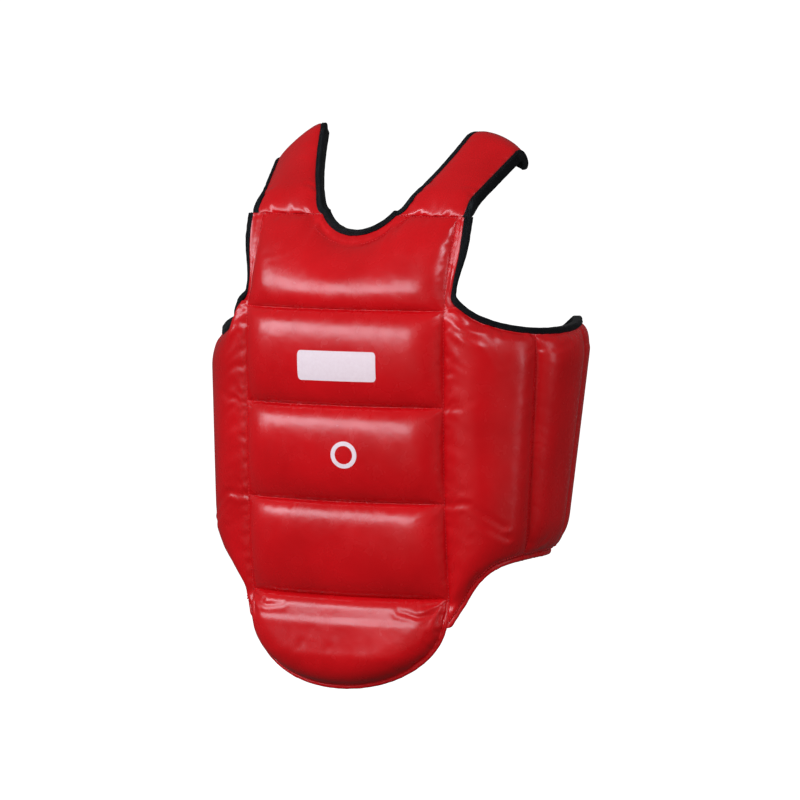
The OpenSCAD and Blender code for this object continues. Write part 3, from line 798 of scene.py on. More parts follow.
def make_front():
    s, z = front_grid()
    low = (z - FLAP_SEAM_Z) % RIB_H
    high = np.where(z > CHEST_Z - 1, chest_top(s) - z, RIB_H - low)
    seam_d = np.minimum(np.minimum(low, high), strip_line(z) - np.abs(s))
    gather = np.where(z > STRAP_SEAM_Z - 30, 0.5, 0.05 + 0.12 * (strip_line(z) - np.abs(s) < low))
    cover = cover_sheet("center_cover", s, z, front_t(s, z), seam_d, gather)
    finish_piece(refine(cover), RED, "front")
    s2, z2 = s[::2, ::2], z[::2, ::2]
    low = (z2 - FLAP_SEAM_Z) % RIB_H
    seam_d = np.minimum(low, np.where(z2 < CHEST_Z - 1, RIB_H - low, FAR))
    side_d = np.where(z2 < ARMHOLE_Z, PANEL_HALF - np.abs(s2), FAR)
    lining = lining_sheet("center_lining", s2, z2, np.minimum(seam_d, side_d))
    finish_piece(refine(lining), LINING_CLOTH, "front")
    for k, name in enumerate(("lower_rib", "mid_rib", "upper_rib", "chest")):
        low, high = seam_z(k) + 3.5, (seam_z(k + 1) if k < 3 else 999) - 3.5
        columns = np.linspace(-PANEL_HALF + 8, PANEL_HALF - 8, 31)
        tops = np.minimum(high, chest_top(columns) - 5)
        ss, rows = np.meshgrid(columns, np.linspace(0, 1, 15), indexing="ij")
        zz = low + (tops - low)[:, None] * rows
        add_foam(f"{name}_foam", ss, zz, front_t(ss, zz), "front")
    for side, sign in SIDES.items():
        s, z = strip_grid(sign)
        strip = cover_sheet(f"{side}_armhole_strip", s, z, strip_t(s, z))
        finish_piece(refine(strip), RED, armhole_zone(side))
        lining = lining_sheet(f"{side}_armhole_lining", s[::2, ::2], z[::2, ::2], FAR)
        finish_piece(lining, LINING_CLOTH, armhole_zone(side))


# ---------------------------------------------------------------- flap
def flap_rim(n=400):
    """Points (s, z) round the flap's rim, from the right end to the left."""
    angle = np.linspace(0, math.pi, n)
    e = 2 / FLAP_POWER
    s = -FLAP_HALF * np.sign(np.cos(angle)) * np.abs(np.cos(angle)) ** e
    z = FLAP_H * (1 - np.abs(np.sin(angle)) ** e)
    return resample(np.stack([s, z], -1), 3.0)


FLAP_CREASES = [([(-48, 32), (-38, 38), (-30, 47)], 4.5, 0.28),
                ([(-16, 24), (-8, 31), (-2, 42)], 4.5, 0.22),
                ([(70, 81), (90, 76), (102, 78)], 2.6, 0.7),
                ([(-104, 84), (-84, 80), (-62, 83)], 2.6, 0.5)]


def flap_t(s, z, rim):
    """Thickness of the flap: it hangs from its seam and swells within its rolled rim."""
    edge = np.minimum(np.abs(line_distance(s, z, rim)), (FLAP_HALF - np.abs(s)) * 0.9 + 1.5)
    top = FLAP_SEAM_Z - z
    rolled = PINCH + 1 + (FLAP_PAD - PINCH - 1) * swell(edge - 3, 30, 2.2, 1.8)
    hang = 0.6 * swell(top, 12, 2.2, 1.8) + 0.4 * np.clip((top - 22) / 38, 0, 1)
    t = SEAM_T + (rolled - SEAM_T) * hang
    t = t + gathers(0.4, s, 4.6, 33, top, 4.5, 1.5)
    t = t + 0.5 * crinkle(s + z, 8, 35) * np.exp(-edge / 6) * smooth(edge, 1, 4)
    for sign, seed in ((-1, 41), (1, 42)):
        t = t + pucker(s, z, sign * 112, 90, 22, 0.9, 9, seed) * smooth(edge, 2, 9) * smooth(top, 0, 3)
    return t + creases(s, z, FLAP_CREASES)


def make_flap():
    rim = flap_rim()
    n = len(rim)
    tops = np.stack([np.linspace(-FLAP_HALF, FLAP_HALF, n), np.full(n, float(FLAP_SEAM_Z))], -1)
    down = np.concatenate([[0, 0.012, 0.03, 0.055], np.linspace(0.09, 0.93, 24), [0.955, 0.98, 1]])
    grid = rim[:, None] + (tops - rim)[:, None] * (1 - down[::-1])[None, ::-1, None]
    s, z = grid[..., 0], grid[..., 1]
    rim_d = np.abs(line_distance(s, z, rim))
    seam_d = np.minimum(rim_d, np.minimum(FLAP_SEAM_Z - z, FLAP_HALF - np.abs(s)))
    seam_d[[0, -1]] = 0
    gather = 0.06 + 0.5 * smooth(np.abs(s), 70, 105)
    cover = cover_sheet("flap_cover", s, z, flap_t(s, z, rim), seam_d, gather)
    finish_piece(refine(cover), RED, flap_zone())
    finish_piece(lining_sheet("flap_lining", s, z, FLAP_SEAM_Z - z), LINING_CLOTH, flap_zone())
    small = s[6:-6:3, 3:-3:3], z[6:-6:3, 3:-3:3]
    add_foam("flap_foam", *small, flap_t(*small, rim), "flap")
    # The rolled rim, crumpled a little where it turns, runs up beside the wings to the seam
    side = np.linspace(FLAP_SEAM_Z - 1, FLAP_H + 3, 5)[:, None]
    rolled = np.concatenate([np.hstack([side * 0 - FLAP_HALF, side]), rim,
                             np.hstack([side * 0 + FLAP_HALF, side])[::-1]])
    t = 2.2 + 2.2 * smooth(rolled[:, 1], 40, FLAP_SEAM_Z)
    path = at(rolled[:, 0], rolled[:, 1], t)
    up = unit(at(rolled[:, 0], rolled[:, 1], t + 1) - path)
    along = unit(np.gradient(path, axis=0))
    out = unit(np.cross(along, up))
    length = np.arange(len(path)) * 3.0
    swollen = 1 + 0.10 * crinkle(length, 9, 51) + 0.05 * crinkle(length, 4, 52)
    profile = rounded(-2.6, 3.0, -2.3, 2.6, 2.3, 5)[None] * swollen[:, None, None]
    rim_roll = sweep("flap_rim_roll", path, out, up, profile)
    finish_piece(refine(rim_roll), PIPING, flap_zone())
    inside = rim + unit(np.stack([-rim[:, 0], 92 - rim[:, 1]], -1)) * 5.2
    s, z = inside[:, 0], inside[:, 1]
    runs = [on_cover(s, z, flap_t(s, z, rim), "flap_cover")]
    sew("flap_rim_stitches", runs, THREAD, flap_zone())


def on_cover(s, z, t, key=""):
    """A stitch run (path, normals) at thickness t, moved as the cover called key has settled."""
    path = at(s, z, t)
    return path + settled_shift(key, s, z), unit(at(s, z, t + 1) - path)


# ---------------------------------------------------------------- wings
def wing_low(s):
    """Height of the cover's foot, which rises in a curve from the flap to the side."""
    a = np.abs(s)
    return 64 + 71 * (1 - np.exp(-(np.maximum(0, a - PANEL_HALF) / 27) ** 1.25))


def wing_high(s):
    """Height of the cover's top edge; the binding stands above it."""
    a = np.abs(s)
    slack = 15 * smooth(-s, 129, 146) * (1 - smooth(-s, 170, 250))
    return (WING_TOP_Z + 32 * np.exp(-np.maximum(0, a - TURN_S) / 36) - slack
            + 7 * (np.maximum(0, np.minimum(a, 320) - 204) / 100) ** 2
            - 16 * smooth(a, 330, WING_END_S))


WING_SPAN = {"front": (PANEL_HALF, SIDE_SEAM_S), "side": (SIDE_SEAM_S, REAR_SEAM_S),
             "rear": (REAR_SEAM_S, WING_END_S)}


FRONT_WING_CREASES = [([(120, 193), (138, 194), (152, 184), (174, 170)], 3.2, 1.5),
                      ([(136, 185), (154, 172), (178, 158)], 3.6, 1.1),
                      *(([(122, high), (130, high - 4), (140, high - 12)], 2.6, 0.8)
                        for high in (216, 206, 181, 170)),
                      ([(120, 292), (134, 294), (144, 299)], 3.4, 0.5),
                      ([(156, 360), (164, 350), (170, 336)], 3.0, 0.5),
                      ([(164, 362), (172, 350), (177, 338)], 3.0, 0.4),
                      ([(121, 389), (136, 379), (156, 376)], 3.2, 1.0),
                      ([(120, 383), (134, 370), (150, 362)], 3.4, 0.8),
                      ([(119, 376), (128, 362), (136, 344)], 3.4, 0.6),
                      ([(122, 88), (134, 100), (146, 118)], 4.0, 0.9),
                      ([(148, 300), (158, 262), (162, 220)], 6.0, 0.25)]
OTHER_WING_CREASES = [([(3, 353), (20, 352), (44, 357)], 3.0, 0.6),
                      ([(5, 150), (18, 148), (34, 154)], 4.0, 0.6)]


def wing_t(s, z, name, side):
    """Thickness of a wing channel: drawn in at its seams, thinner at its bound edges."""
    a = np.abs(s)
    first, last = WING_SPAN[name]
    low, high = z - wing_low(s), wing_high(s) - z
    seed = {"front": 60, "side": 70, "rear": 80}[name] + (side == "left")
    begin = SEAM_T if name == "front" else WING_SEAM_T
    end = BOUND_T if name == "rear" else WING_SEAM_T
    seam = begin + (end - begin) * (a - first) / (last - first)
    near = swell(a - first, 40, 2.2, 1.35) if name == "front" else swell(a - first, 32, 2.2, 1.6)
    t = seam + (WING_PAD - seam) * near * swell(last - a, 32, 2.2, 1.6)
    t = BOUND_T + (t - BOUND_T) * swell(high - 2, 34, 2.2, 1.5)
    t = PINCH + 0.5 + (t - PINCH - 0.5) * swell(low - 3, 36, 2.2, 1.6)
    for d, k, power in ((a - first, 1, 0.7 if name == "front" else 0.3), (last - a, 2, 0.3)):
        if name == "rear" and k == 2:
            continue
        t = t + gathers(power, z + 0.35 * a, 6.5, seed + k, d, 6, 3)
        t = t + 0.8 * power * crinkle(z + 0.6 * d, 15, seed + k + 3) * np.exp(-((d - 13) / 8) ** 2)
    t = t + 0.7 * crinkle(a, 7, seed + 5) * np.exp(-np.maximum(low - 2, 0) / 8) * smooth(low, 0, 4)
    t = t + gathers(0.3, a, 10, seed + 6, high, 9, 4)
    t = t + pucker(s, z, math.copysign(last, 1 if side == "left" else -1), 356, 14, 0.5, 7, seed + 7)
    if name == "front":
        sign = SIDES[side]
        for cz in (seam_z(1), seam_z(2), seam_z(3)):
            t = t + (pucker(s, z, sign * PANEL_HALF, cz, 20, 0.5, 9, int(cz) + seed)
                     * smooth(a - first, 0, 4))
        t = t + creases(s * sign, z, FRONT_WING_CREASES)
    else:
        t = t + creases(a - first, z, OTHER_WING_CREASES)
    return np.maximum(t, 2.2)


def wing_grid(name, sign):
    """Columns of (s, z) over a wing channel, from its foot to its top edge."""
    first, last = WING_SPAN[name]
    s, share = np.meshgrid(spaced(first, last, 3.3), spaced(0, 300, 3.3) / 300, indexing="ij")
    low, high = wing_low(s), wing_high(sign * s)
    z = low + (high - low) * share
    if sign < 0:
        return -s[::-1], z[::-1]
    return s, z


def make_wing(side, name):
    sign = SIDES[side]
    zone = wing_zone(side, name)
    label = f"{side}_{name}_wing"
    s, z = wing_grid(name, sign)
    first, last = WING_SPAN[name]
    across = np.minimum(np.abs(s) - first, last - np.abs(s))
    up = np.minimum(z - wing_low(s), wing_high(s) - z)
    near_front = smooth(-np.abs(s), -165, -130)
    gather = 0.12 + (0.25 if name == "front" else 0.05) * near_front + 0.3 * (up < 12)
    seam_d = np.minimum(across, up)
    cover = cover_sheet(f"{label}_cover", s, z, wing_t(s, z, name, side), seam_d, gather)
    finish_piece(refine(cover), RED, zone)
    s2, z2 = s[::2, ::2], z[::2, ::2]
    far = FAR if name == "rear" else last - np.abs(s2)
    lining = lining_sheet(f"{label}_lining", s2, z2, np.minimum(np.abs(s2) - first, far))
    finish_piece(refine(lining), LINING_CLOTH, zone)
    s3, z3 = s[6:-6:3, 5:-5:4], z[6:-6:3, 5:-5:4]
    add_foam(f"{label}_foam", s3, z3, wing_t(s3, z3, name, side), label)


# ---------------------------------------------------------------- shoulder straps
def strap_neck_x(a):
    """x of a strap's neck edge at a, which is as in strap_at()."""
    rise = (np.sqrt(np.clip(a, 0, 1) + 0.02) - 0.02 ** 0.5) / (1.02 ** 0.5 - 0.02 ** 0.5)
    return 43 + 47.5 * rise + 13 * np.clip(a - 1, 0, 1)


def strap_arm_x(a):
    return 121 + 22 * np.clip(a, 0, 1) + 2 * np.clip(a - 1, 0, 1)


def strap_at(side, w, a, t):
    """Point on a strap: w 0..1 across from the neck side, a 0..1 up its front, 1..2 round the
    shoulder and 2..3 down behind, t outwards. Its foot bends into the chest's top edge."""
    w, a, t = np.broadcast_arrays(*(np.asarray(v, float) for v in (w, a, t)))
    rise = STRAP_RISE[side] - STRAP_DROP[side] * w
    slope = np.arctan2(rise, STRAP_RUN)
    foot_x = strap_neck_x(0) + (strap_arm_x(0) - strap_neck_x(0)) * w
    foot = at(foot_x * 1.02, STRAP_SEAM_Z + 0.9, 0)
    x = strap_neck_x(a) + (strap_arm_x(a) - strap_neck_x(a)) * w
    h = slope - np.clip(a - 1, 0, 1) * (slope + STRAP_TAIL_SLOPE)
    tail = STRAP_TAIL * np.maximum(0, a - 2)
    r = STRAP_BEND_R + t
    y_bend = foot[..., 1] + STRAP_RUN + STRAP_BEND_R * np.sin(slope) - r * np.sin(h) + tail * np.cos(h)
    z_bend = foot[..., 2] + rise - STRAP_BEND_R * np.cos(slope) + r * np.cos(h) + tail * np.sin(h)
    y_run = foot[..., 1] + STRAP_RUN * a - t * np.sin(slope)
    z_run = foot[..., 2] + rise * a + t * np.cos(slope)
    on_front = a < 1
    point = np.stack([x, np.where(on_front, y_run, y_bend), np.where(on_front, z_run, z_bend)], -1)
    sewn = at(foot_x * 1.02, STRAP_SEAM_Z, t)
    start = np.stack([foot_x, foot[..., 1] - t * np.sin(slope), foot[..., 2] + t * np.cos(slope)], -1)
    point = point + (sewn - start) * (1 - smooth(a, 0, 0.22))[..., None]
    return point * np.array([SIDES[side], 1, 1])


def strap_t(side, w, a):
    """Thickness of a strap: its sewn foot, its bound edges and the folds at its bend."""
    width = strap_arm_x(a) - strap_neck_x(a)
    d = np.minimum(w, 1 - w) * width
    foot, end = a * STRAP_L, (3 - a) * STRAP_END
    seed = 90 + (side == "left")
    across = 0.6 + 0.4 * swell(d, 26, 2.2, 1.5)
    close = 0.45 + 0.55 * swell(end, 20, 2.2, 1.6)
    t = SEAM_T + (STRAP_PAD * across * close - SEAM_T) * swell(foot, 24, 2.2, 1.4)
    t = t + gathers(1, w * width + 0.5 * foot, 4.2, seed, foot, 5, 2)
    t = t + gathers(0.35, foot + 0.6 * d, 7, seed + 2, d, 8, 3)
    inner = w * width
    folds = np.exp(-((inner - 9) / 8) ** 2) * smooth(a, 0.4, 0.8)
    t = t + 0.6 * crinkle(foot - 0.8 * inner, 10, seed + 4) * folds
    bend = np.exp(-((a - 1.25) / 0.4) ** 2)
    return t + 0.45 * bend * crinkle(foot + 3 * w, 9, seed + 6) * swell(d, 20)


def strap_grid(side):
    """Columns across a strap in order of increasing x, rows along it."""
    across = spaced(0, 1, 0.048, close=(0, 0.012, 0.035, 0.065, 0.1))
    run = np.concatenate([[0, 0.008, 0.02, 0.04], np.arange(0.07, 1, 0.032), np.linspace(1, 2, 13),
                          2 + np.array([0.17, 0.34, 0.5, 0.66, 0.82, 0.92, 1])])
    w, a = np.meshgrid(across, run, indexing="ij")
    if SIDES[side] < 0:
        return w[::-1], a[::-1]
    return w, a


def make_strap(side):
    zone = strap_zone(side)
    w, a = strap_grid(side)
    across = np.minimum(w, 1 - w) * (strap_arm_x(a) - strap_neck_x(a))
    seam_d = np.minimum(across, np.minimum(a * STRAP_L, (3 - a) * STRAP_END))
    label = f"{side}_strap"
    outer = settle(f"{label}_cover", w, a, strap_at(side, w, a, strap_t(side, w, a)), seam_d,
                   0.15 + 0.75 * (a < 0.3))
    cover = shell(f"{label}_cover", outer, outer - grid_normals(outer) * SKIN)
    finish_piece(refine(cover), RED, zone)
    w2, a2 = w[::2, ::2], a[::2, ::2]
    width = strap_arm_x(a2) - strap_neck_x(a2)
    inner = strap_at(side, w2, a2, -LINING - 0.8 * swell(np.minimum(w2, 1 - w2) * width, 20))
    lining = shell(f"{label}_lining", inner + grid_normals(inner) * LINING * 0.9, inner)
    finish_piece(lining, LINING_CLOTH, zone)
    w3, a3 = w[3:-3:2, 6:-3:2], a[3:-3:2, 6:-3:2]
    foam = shell(f"{label}_foam", strap_at(side, w3, a3, strap_t(side, w3, a3) - SKIN - 0.6),
                 strap_at(side, w3, a3, 0.3))
    finish_piece(foam, FOAM, label)
    patch_w, patch_a = np.meshgrid(np.linspace(0.2, 0.8, 9), np.linspace(0.22, 0.8, 9), indexing="ij")
    if SIDES[side] < 0:
        patch_w, patch_a = patch_w[::-1], patch_a[::-1]
    patch = shell(f"{label}_loop_patch", strap_at(side, patch_w, patch_a, -LINING - 0.3),
                  strap_at(side, patch_w, patch_a, -LINING - 1.7))
    finish_piece(refine(patch), LOOP, label)


# ---------------------------------------------------------------- edge bindings
TAPE_DROP = 1.6
ARM_TAPE_W = 4.4


def edge_frame(point, path_a, path_b, out_a, out_b):
    """Path, outward and thickness directions along an edge. point(a, b, t) gives a place;
    (out_a, out_b) is a small step away from the pad at each path point."""
    path = point(path_a, path_b, 0)
    up = unit(point(path_a, path_b, 1) - path)
    along = unit(np.gradient(path, axis=0))
    out = point(path_a + out_a, path_b + out_b, 0) - path
    out = unit(out - up * np.sum(out * up, -1, keepdims=True)
               - along * np.sum(out * along, -1, keepdims=True))
    return path, out, up


def tape(name, frame_of, inner, width, low, high, seed, soft=2.2):
    """A folded tape round an edge: inner, width, low and high are sizes, or one per path point."""
    path, out, up = frame_of
    n = len(path)
    inner, width, low, high = (np.broadcast_to(v, n) for v in (inner, width, low, high))
    along = np.concatenate([[0], np.cumsum(np.linalg.norm(np.diff(path, axis=0), axis=1))])
    wobble = 0.22 * crinkle(along, 13, seed)
    profiles = np.stack([rounded(-i, w + b, lo - 0.2 * b, hi + b, min(soft, (hi - lo) / 2.2), 5)
                         for i, w, lo, hi, b in zip(inner, width, low, high, wobble)])
    return sweep(name, path, out, up, profiles)


def bind(name, frame_of, high, seed, body, stitch_name, width=BIND_W, inner=1.2, sewn=0.9):
    """A tape and the stitch row on its face, high above the edge and sewn away from it."""
    finish_piece(tape(name, frame_of, inner, width, -TAPE_DROP, high, seed), NYLON, body)
    path, out, up = frame_of
    place = path + out * sewn + up * np.reshape(high + 0.05, (-1, 1))
    sew(stitch_name, [(place, up)], BLACK_THREAD, body, radius=0.34)


def make_neck_binding():
    reach = math.acos((NECK_Z - STRAP_SEAM_Z) / NECK_EDGE_R)
    angle = np.linspace(-reach - 0.05, reach + 0.05, 63)
    s, z = NECK_EDGE_R * np.sin(angle), NECK_Z - NECK_EDGE_R * np.cos(angle)
    frame_of = edge_frame(at, s, z, -np.sin(angle), np.cos(angle))
    t = front_t(s, np.minimum(z, STRAP_SEAM_Z))
    bind("neck_binding", frame_of, t + 1, 201, "front", "neck_binding_stitches")


def strap_edge(side, w, out):
    """The edge frame along a strap's side w, and how far along the strap each point is."""
    def point(across, along, t):
        return strap_at(side, across, along, t)

    a = np.concatenate([np.linspace(0, 1, 41), 1 + np.arange(1, 13) / 12, 2 + np.arange(1, 9) / 8])
    return edge_frame(point, w, a, out, 0), a


def make_strap_bindings(side):
    for label, w, out in (("inner", 0.0, -0.02), ("outer", 1.0, 0.02)):
        frame_of, a = strap_edge(side, w, out)
        t = strap_t(side, w, a)
        width = BIND_W
        if label == "outer":
            width = ARM_TAPE_W + 3.6 * (1 - smooth(a, 0, 0.35)) - 1.6 * smooth(a, 1, 1.8)
        name = f"{side}_strap_{label}"
        bind(f"{name}_binding", frame_of, t + 1, 210, strap_zone(side), f"{name}_stitches", width)


def make_armhole_binding(side):
    sign = SIDES[side]
    z = np.linspace(STRAP_SEAM_Z, ARMHOLE_Z, 50)
    s = sign * strip_edge(z)
    frame_of = edge_frame(at, s, z, sign, -np.gradient(strip_edge(z), z))
    t = strip_t(s, z)
    foot = 1 - smooth(z, ARMHOLE_Z, ARMHOLE_Z + 14)
    t = t + (BOUND_T - 0.1 - t) * foot
    width = ARM_TAPE_W + 3.6 * smooth(z, 415, 470) + 1.6 * foot
    name = f"{side}_armhole"
    bind(f"{name}_binding", frame_of, t + 1, 221, armhole_zone(side), f"{name}_stitches", width,
         sewn=1)


def make_wing_bindings(side):
    sign = SIDES[side]
    for name, (first, last) in WING_SPAN.items():
        a = spaced(max(first, TURN_S), last, 2.6, close=(0, 1.2, 2.6))
        z = wing_high(sign * a)
        frame_of = edge_frame(at, sign * a, z, -sign * np.gradient(z, a), 1)
        high = np.maximum(wing_t(sign * a, z, name, side), 5.4) + 0.9
        label = f"{side}_{name}_wing_binding"
        bind(label, frame_of, high, 231, wing_zone(side, name), f"{label}_stitches")
    z = np.linspace(wing_high(sign * WING_END_S) + BIND_W, wing_low(WING_END_S) - 1, 60)
    frame_of = edge_frame(at, sign * WING_END_S, z, sign, 0)
    label = f"{side}_wing_end"
    bind(f"{label}_binding", frame_of, BOUND_T + 1.1, 241, f"{side}_rear_wing", f"{label}_stitches",
         width=4.2, inner=3, sewn=-1.6)


def make_wing_piping(side):
    """The rolled red edge along the foot of a wing."""
    sign = SIDES[side]
    for name, (first, last) in WING_SPAN.items():
        foot = spaced(first, last, 2.4)
        foot = np.stack([foot, wing_low(foot)], -1)
        if name == "front":
            foot[0, 0] += 1.5
            foot = np.concatenate([[[first + 1.5, FLAP_SEAM_Z - 1], [first + 1.5, foot[0, 1] + 5]], foot])
        a = resample(foot, 2.6)
        s, z = sign * a[:, 0], a[:, 1]
        turn = np.gradient(a, axis=0)
        frame_of = edge_frame(at, s, z, sign * turn[:, 1], -turn[:, 0])
        length = np.arange(len(s)) * 2.6
        swollen = 1 + 0.13 * crinkle(length, 8, 251) + 0.06 * crinkle(length, 3.7, 252)
        path, out, up = frame_of
        profile = rounded(-2.8, 3.2, -2.4, 4.4, 2.6, 5)[None] * swollen[:, None, None]
        roll = sweep(f"{side}_{name}_wing_roll", path, out, up, profile)
        finish_piece(refine(roll), PIPING, wing_zone(side, name))
        a = foot[foot[:, 1] <= wing_low(foot[:, 0]) + 0.1]
        s, inside = sign * a[:, 0], a[:, 1] + 5.2
        t = wing_t(s, inside, name, side)
        run = on_cover(s, inside, t, f"{side}_{name}_wing_cover")
        sew(f"{side}_{name}_wing_roll_stitches", [run], THREAD, wing_zone(side, name))


# ---------------------------------------------------------------- seam stitching
def make_seam_stitches():
    seam_t = SEAM_T + STITCH_RISE
    s = np.linspace(-PANEL_HALF + 1.5, PANEL_HALF - 1.5, 90)
    runs = [on_cover(s, seam_z(k), seam_t) for k in range(4)]
    for sign in (-1, 1):
        runs.append(on_cover(sign * PANEL_HALF, np.linspace(FLAP_SEAM_Z, ARMHOLE_Z, 120), seam_t))
        z = np.linspace(ARMHOLE_Z + 4, STRAP_SEAM_Z - 3, 40)
        s_line = sign * strip_line(z)
        runs.append(on_cover(s_line, z, front_t(s_line, z) + 0.25))
        x, foot_z = np.linspace(46, 120, 30), STRAP_SEAM_Z - 0.6
        runs.append(on_cover(sign * x, foot_z, front_t(x, foot_z) + 0.2))
    angle = np.radians(np.linspace(-68, 68, 60))
    r = NECK_EDGE_R + STRIP_W
    s, z = r * np.sin(angle), NECK_Z - r * np.cos(angle)
    runs.append(on_cover(s, z, front_t(s, z) + 0.2))
    sew("front_seam_stitches", runs, THREAD, "front")
    for side, sign in SIDES.items():
        for name, body in (("side", f"{side}_front_wing"), ("rear", f"{side}_side_wing")):
            first = WING_SPAN[name][0]
            z = np.linspace(wing_low(first) + 6, wing_high(first) - 3, 80)
            run = on_cover(sign * first, z, wing_t(sign * first, z, name, side) + STITCH_RISE)
            sew(f"{side}_{name}_seam_stitches", [run], THREAD, body)


# ---------------------------------------------------------------- elastic back bands
def webbing(name, path, z0, z1, thickness, material, body, ribs=True):
    """A strip of webbing standing on edge along plan points, from height z0 to z1."""
    path = resample(np.asarray(path, float), 4)
    along = unit(np.gradient(path, axis=0))
    out = np.stack([along[:, 1], -along[:, 0]], -1)
    rows = spaced(z0, z1, 3.2, close=(0, 0.7, 1.8))
    edge = np.minimum(rows - z0, z1 - rows)
    half = thickness / 2 * (0.55 + 0.45 * swell(edge, 2.2))
    if ribs:
        half = half + 0.10 * np.cos(2 * math.pi * (rows - z0) / 5.0) * smooth(edge, 0.5, 2)
    length = np.arange(len(path)) * 4.0
    sway = 0.9 * np.sin(length / 37.0)[:, None] * np.sin((rows - z0) / (z1 - z0) * math.pi)[None]

    def face(sign):
        flat = path[:, None] + out[:, None] * (sign * half[None] + sway)[..., None]
        return np.concatenate([flat, np.broadcast_to(rows[None, :, None], flat.shape[:2] + (1,))], -1)

    finish_piece(shell(name, face(1), face(-1)), material, body)


def band_path(z):
    """The waist band in plan, from the left wing's end across the back to the peel line."""
    left = [(WING_END_S - 14, 8.8), (WING_END_S + 4, 6.5), (WING_END_S + 22, 9),
            (BAND_MID_S, BAND_MID_T + 1)]
    right = [(-BAND_MID_S, BAND_MID_T + 1), (-WING_END_S - 16, TAB_BASE_T - 2),
             (-WING_END_S + 2, TAB_BASE_T + 1), (-PEEL_S - 0.6, TAB_BASE_T + 1)]
    coarse = np.array([at(s, z, t)[:2] for s, t in left + right])
    return soften(coarse)


def soften(points, rounds=3):
    """Rounds the corners of a polyline, keeping its ends."""
    for _ in range(rounds):
        a, b = points[:-1], points[1:]
        cut = np.stack([a * 0.75 + b * 0.25, a * 0.25 + b * 0.75], 1).reshape(-1, points.shape[1])
        points = np.concatenate([points[:1], cut, points[-1:]])
    return points


def box_stitch(corners, cross=True):
    """Stitch runs round a box and across it; corners are four (point, normal) in order."""
    ring = corners + corners[:1]
    runs = [(np.stack([a, b]), np.stack([na, nb])) for (a, na), (b, nb) in zip(ring, ring[1:])]
    if cross:
        for i, j in ((0, 2), (1, 3)):
            runs.append((np.stack([corners[i][0], corners[j][0]]),
                         np.stack([corners[i][1], corners[j][1]])))
    return runs


def on_wing_box(s0, s1, z0, z1, t):
    """Corners (point, normal) of a stitched box laid over a wing at thickness t."""
    return [(at(s, z, t), unit(at(s, z, t + 1) - at(s, z, t)))
            for s, z in ((s0, z0), (s1, z0), (s1, z1), (s0, z1))]


def make_waist_bands():
    for level, z in BAND_Z.items():
        z0, z1 = z - BAND_W / 2, z + BAND_W / 2
        webbing(f"{level}_waist_band", band_path(z)[::-1], z0, z1, BAND_T, ELASTIC,
                "left_rear_wing")
        tab = [at(-s, z, TAB_BASE_T + 0.8)[:2] for s in np.linspace(PEEL_S - 0.6, TAB_END_S, 9)]
        webbing(f"{level}_hook_tab", tab[::-1], z0 + 2, z1 - 2, TAB_T, HOOK,
                f"{level}_hook_tab", ribs=False)
        patch = [at(-s, z, WING_PAD + 0.65)[:2] for s in np.linspace(PEEL_S - 4, TAB_END_S + 2, 8)]
        webbing(f"{level}_loop_patch", patch[::-1], z0 + 2, z1 - 2, LOOP_T, LOOP,
                "right_rear_wing", ribs=False)
        sewn = on_wing_box(WING_END_S - 12, WING_END_S + 2, z0 + 3, z1 - 3, 10.0)
        sew(f"{level}_band_stitches", box_stitch(sewn), BLACK_THREAD, "left_rear_wing",
            pitch=3, radius=0.4)
        top = on_wing_box(-PEEL_S + 3, -TAB_END_S - 3, z0 + 5, z1 - 5, TAB_BASE_T + 1.75)
        sew(f"{level}_tab_stitches", box_stitch(top, cross=False), BLACK_THREAD, f"{level}_hook_tab",
            pitch=3, radius=0.4)


def yoke_y(z):
    """y of the yoke's face towards the bands."""
    return at(BAND_MID_S, z, BAND_MID_T + BAND_T + 0.15)[..., 1]


def flat_panel(name, x0, x1, z0, z1, y_of, thickness, material, body):
    """A cloth panel facing backwards, between x0..x1 and z0..z1, with rounded edges."""
    x = spaced(x0, x1, 4, close=(0, 0.6, 1.6))[::-1]
    z = spaced(z0, z1, 4, close=(0, 0.6, 1.6))
    xx, zz = np.meshgrid(x, z, indexing="ij")
    edge = np.minimum(np.minimum(xx - x0, x1 - xx), np.minimum(zz - z0, z1 - zz))
    half = thickness / 2 * (0.5 + 0.5 * swell(edge, 2.4))
    middle = y_of(zz) + thickness / 2 + 0.25 * crinkle(xx + 0.4 * zz, 31, 7)

    def face(sign):
        return np.stack([xx, middle + sign * half, zz], -1)

    finish_piece(shell(name, face(1), face(-1)), material, body)


def back_line(points, y_of, thickness):
    """A stitch run on a backward facing panel through (x, z) points."""
    points = np.array(points, float)
    path = np.stack([points[:, 0], y_of(points[:, 1]) + thickness + 0.1, points[:, 1]], -1)
    return path, np.repeat([[0.0, 1.0, 0.0]], len(points), 0)


def back_box(x0, x1, z0, z1, y_of, thickness):
    """Stitch runs round a box on a backward facing panel."""
    ring = [(x0, z0), (x1, z0), (x1, z1), (x0, z1), (x0, z0)]
    return [back_line([p, q], y_of, thickness) for p, q in zip(ring, ring[1:])]


def make_yoke():
    low = BAND_Z["upper"] - BAND_W / 2
    flat_panel("back_yoke", -YOKE_HALF, YOKE_HALF, low, YOKE_TOP, yoke_y, YOKE_T, NYLON,
               "left_rear_wing")
    runs = []
    for inset in (3, 7):
        x, z0, z1 = YOKE_HALF - inset, low + inset, YOKE_TOP - inset
        runs += back_box(-x, x, z0, z1, yoke_y, YOKE_T)
    for sign in (-1, 1):
        x0, x1 = sign * SHOULDER_X - SHOULDER_W / 2, sign * SHOULDER_X + SHOULDER_W / 2
        for z in (YOKE_TOP - 12, YOKE_TOP - 15):
            runs.append(back_line([(x0, z), (x1, z)], yoke_y, YOKE_T))
    sew("back_yoke_stitches", runs, BLACK_THREAD, "left_rear_wing", pitch=3.2, radius=0.36)


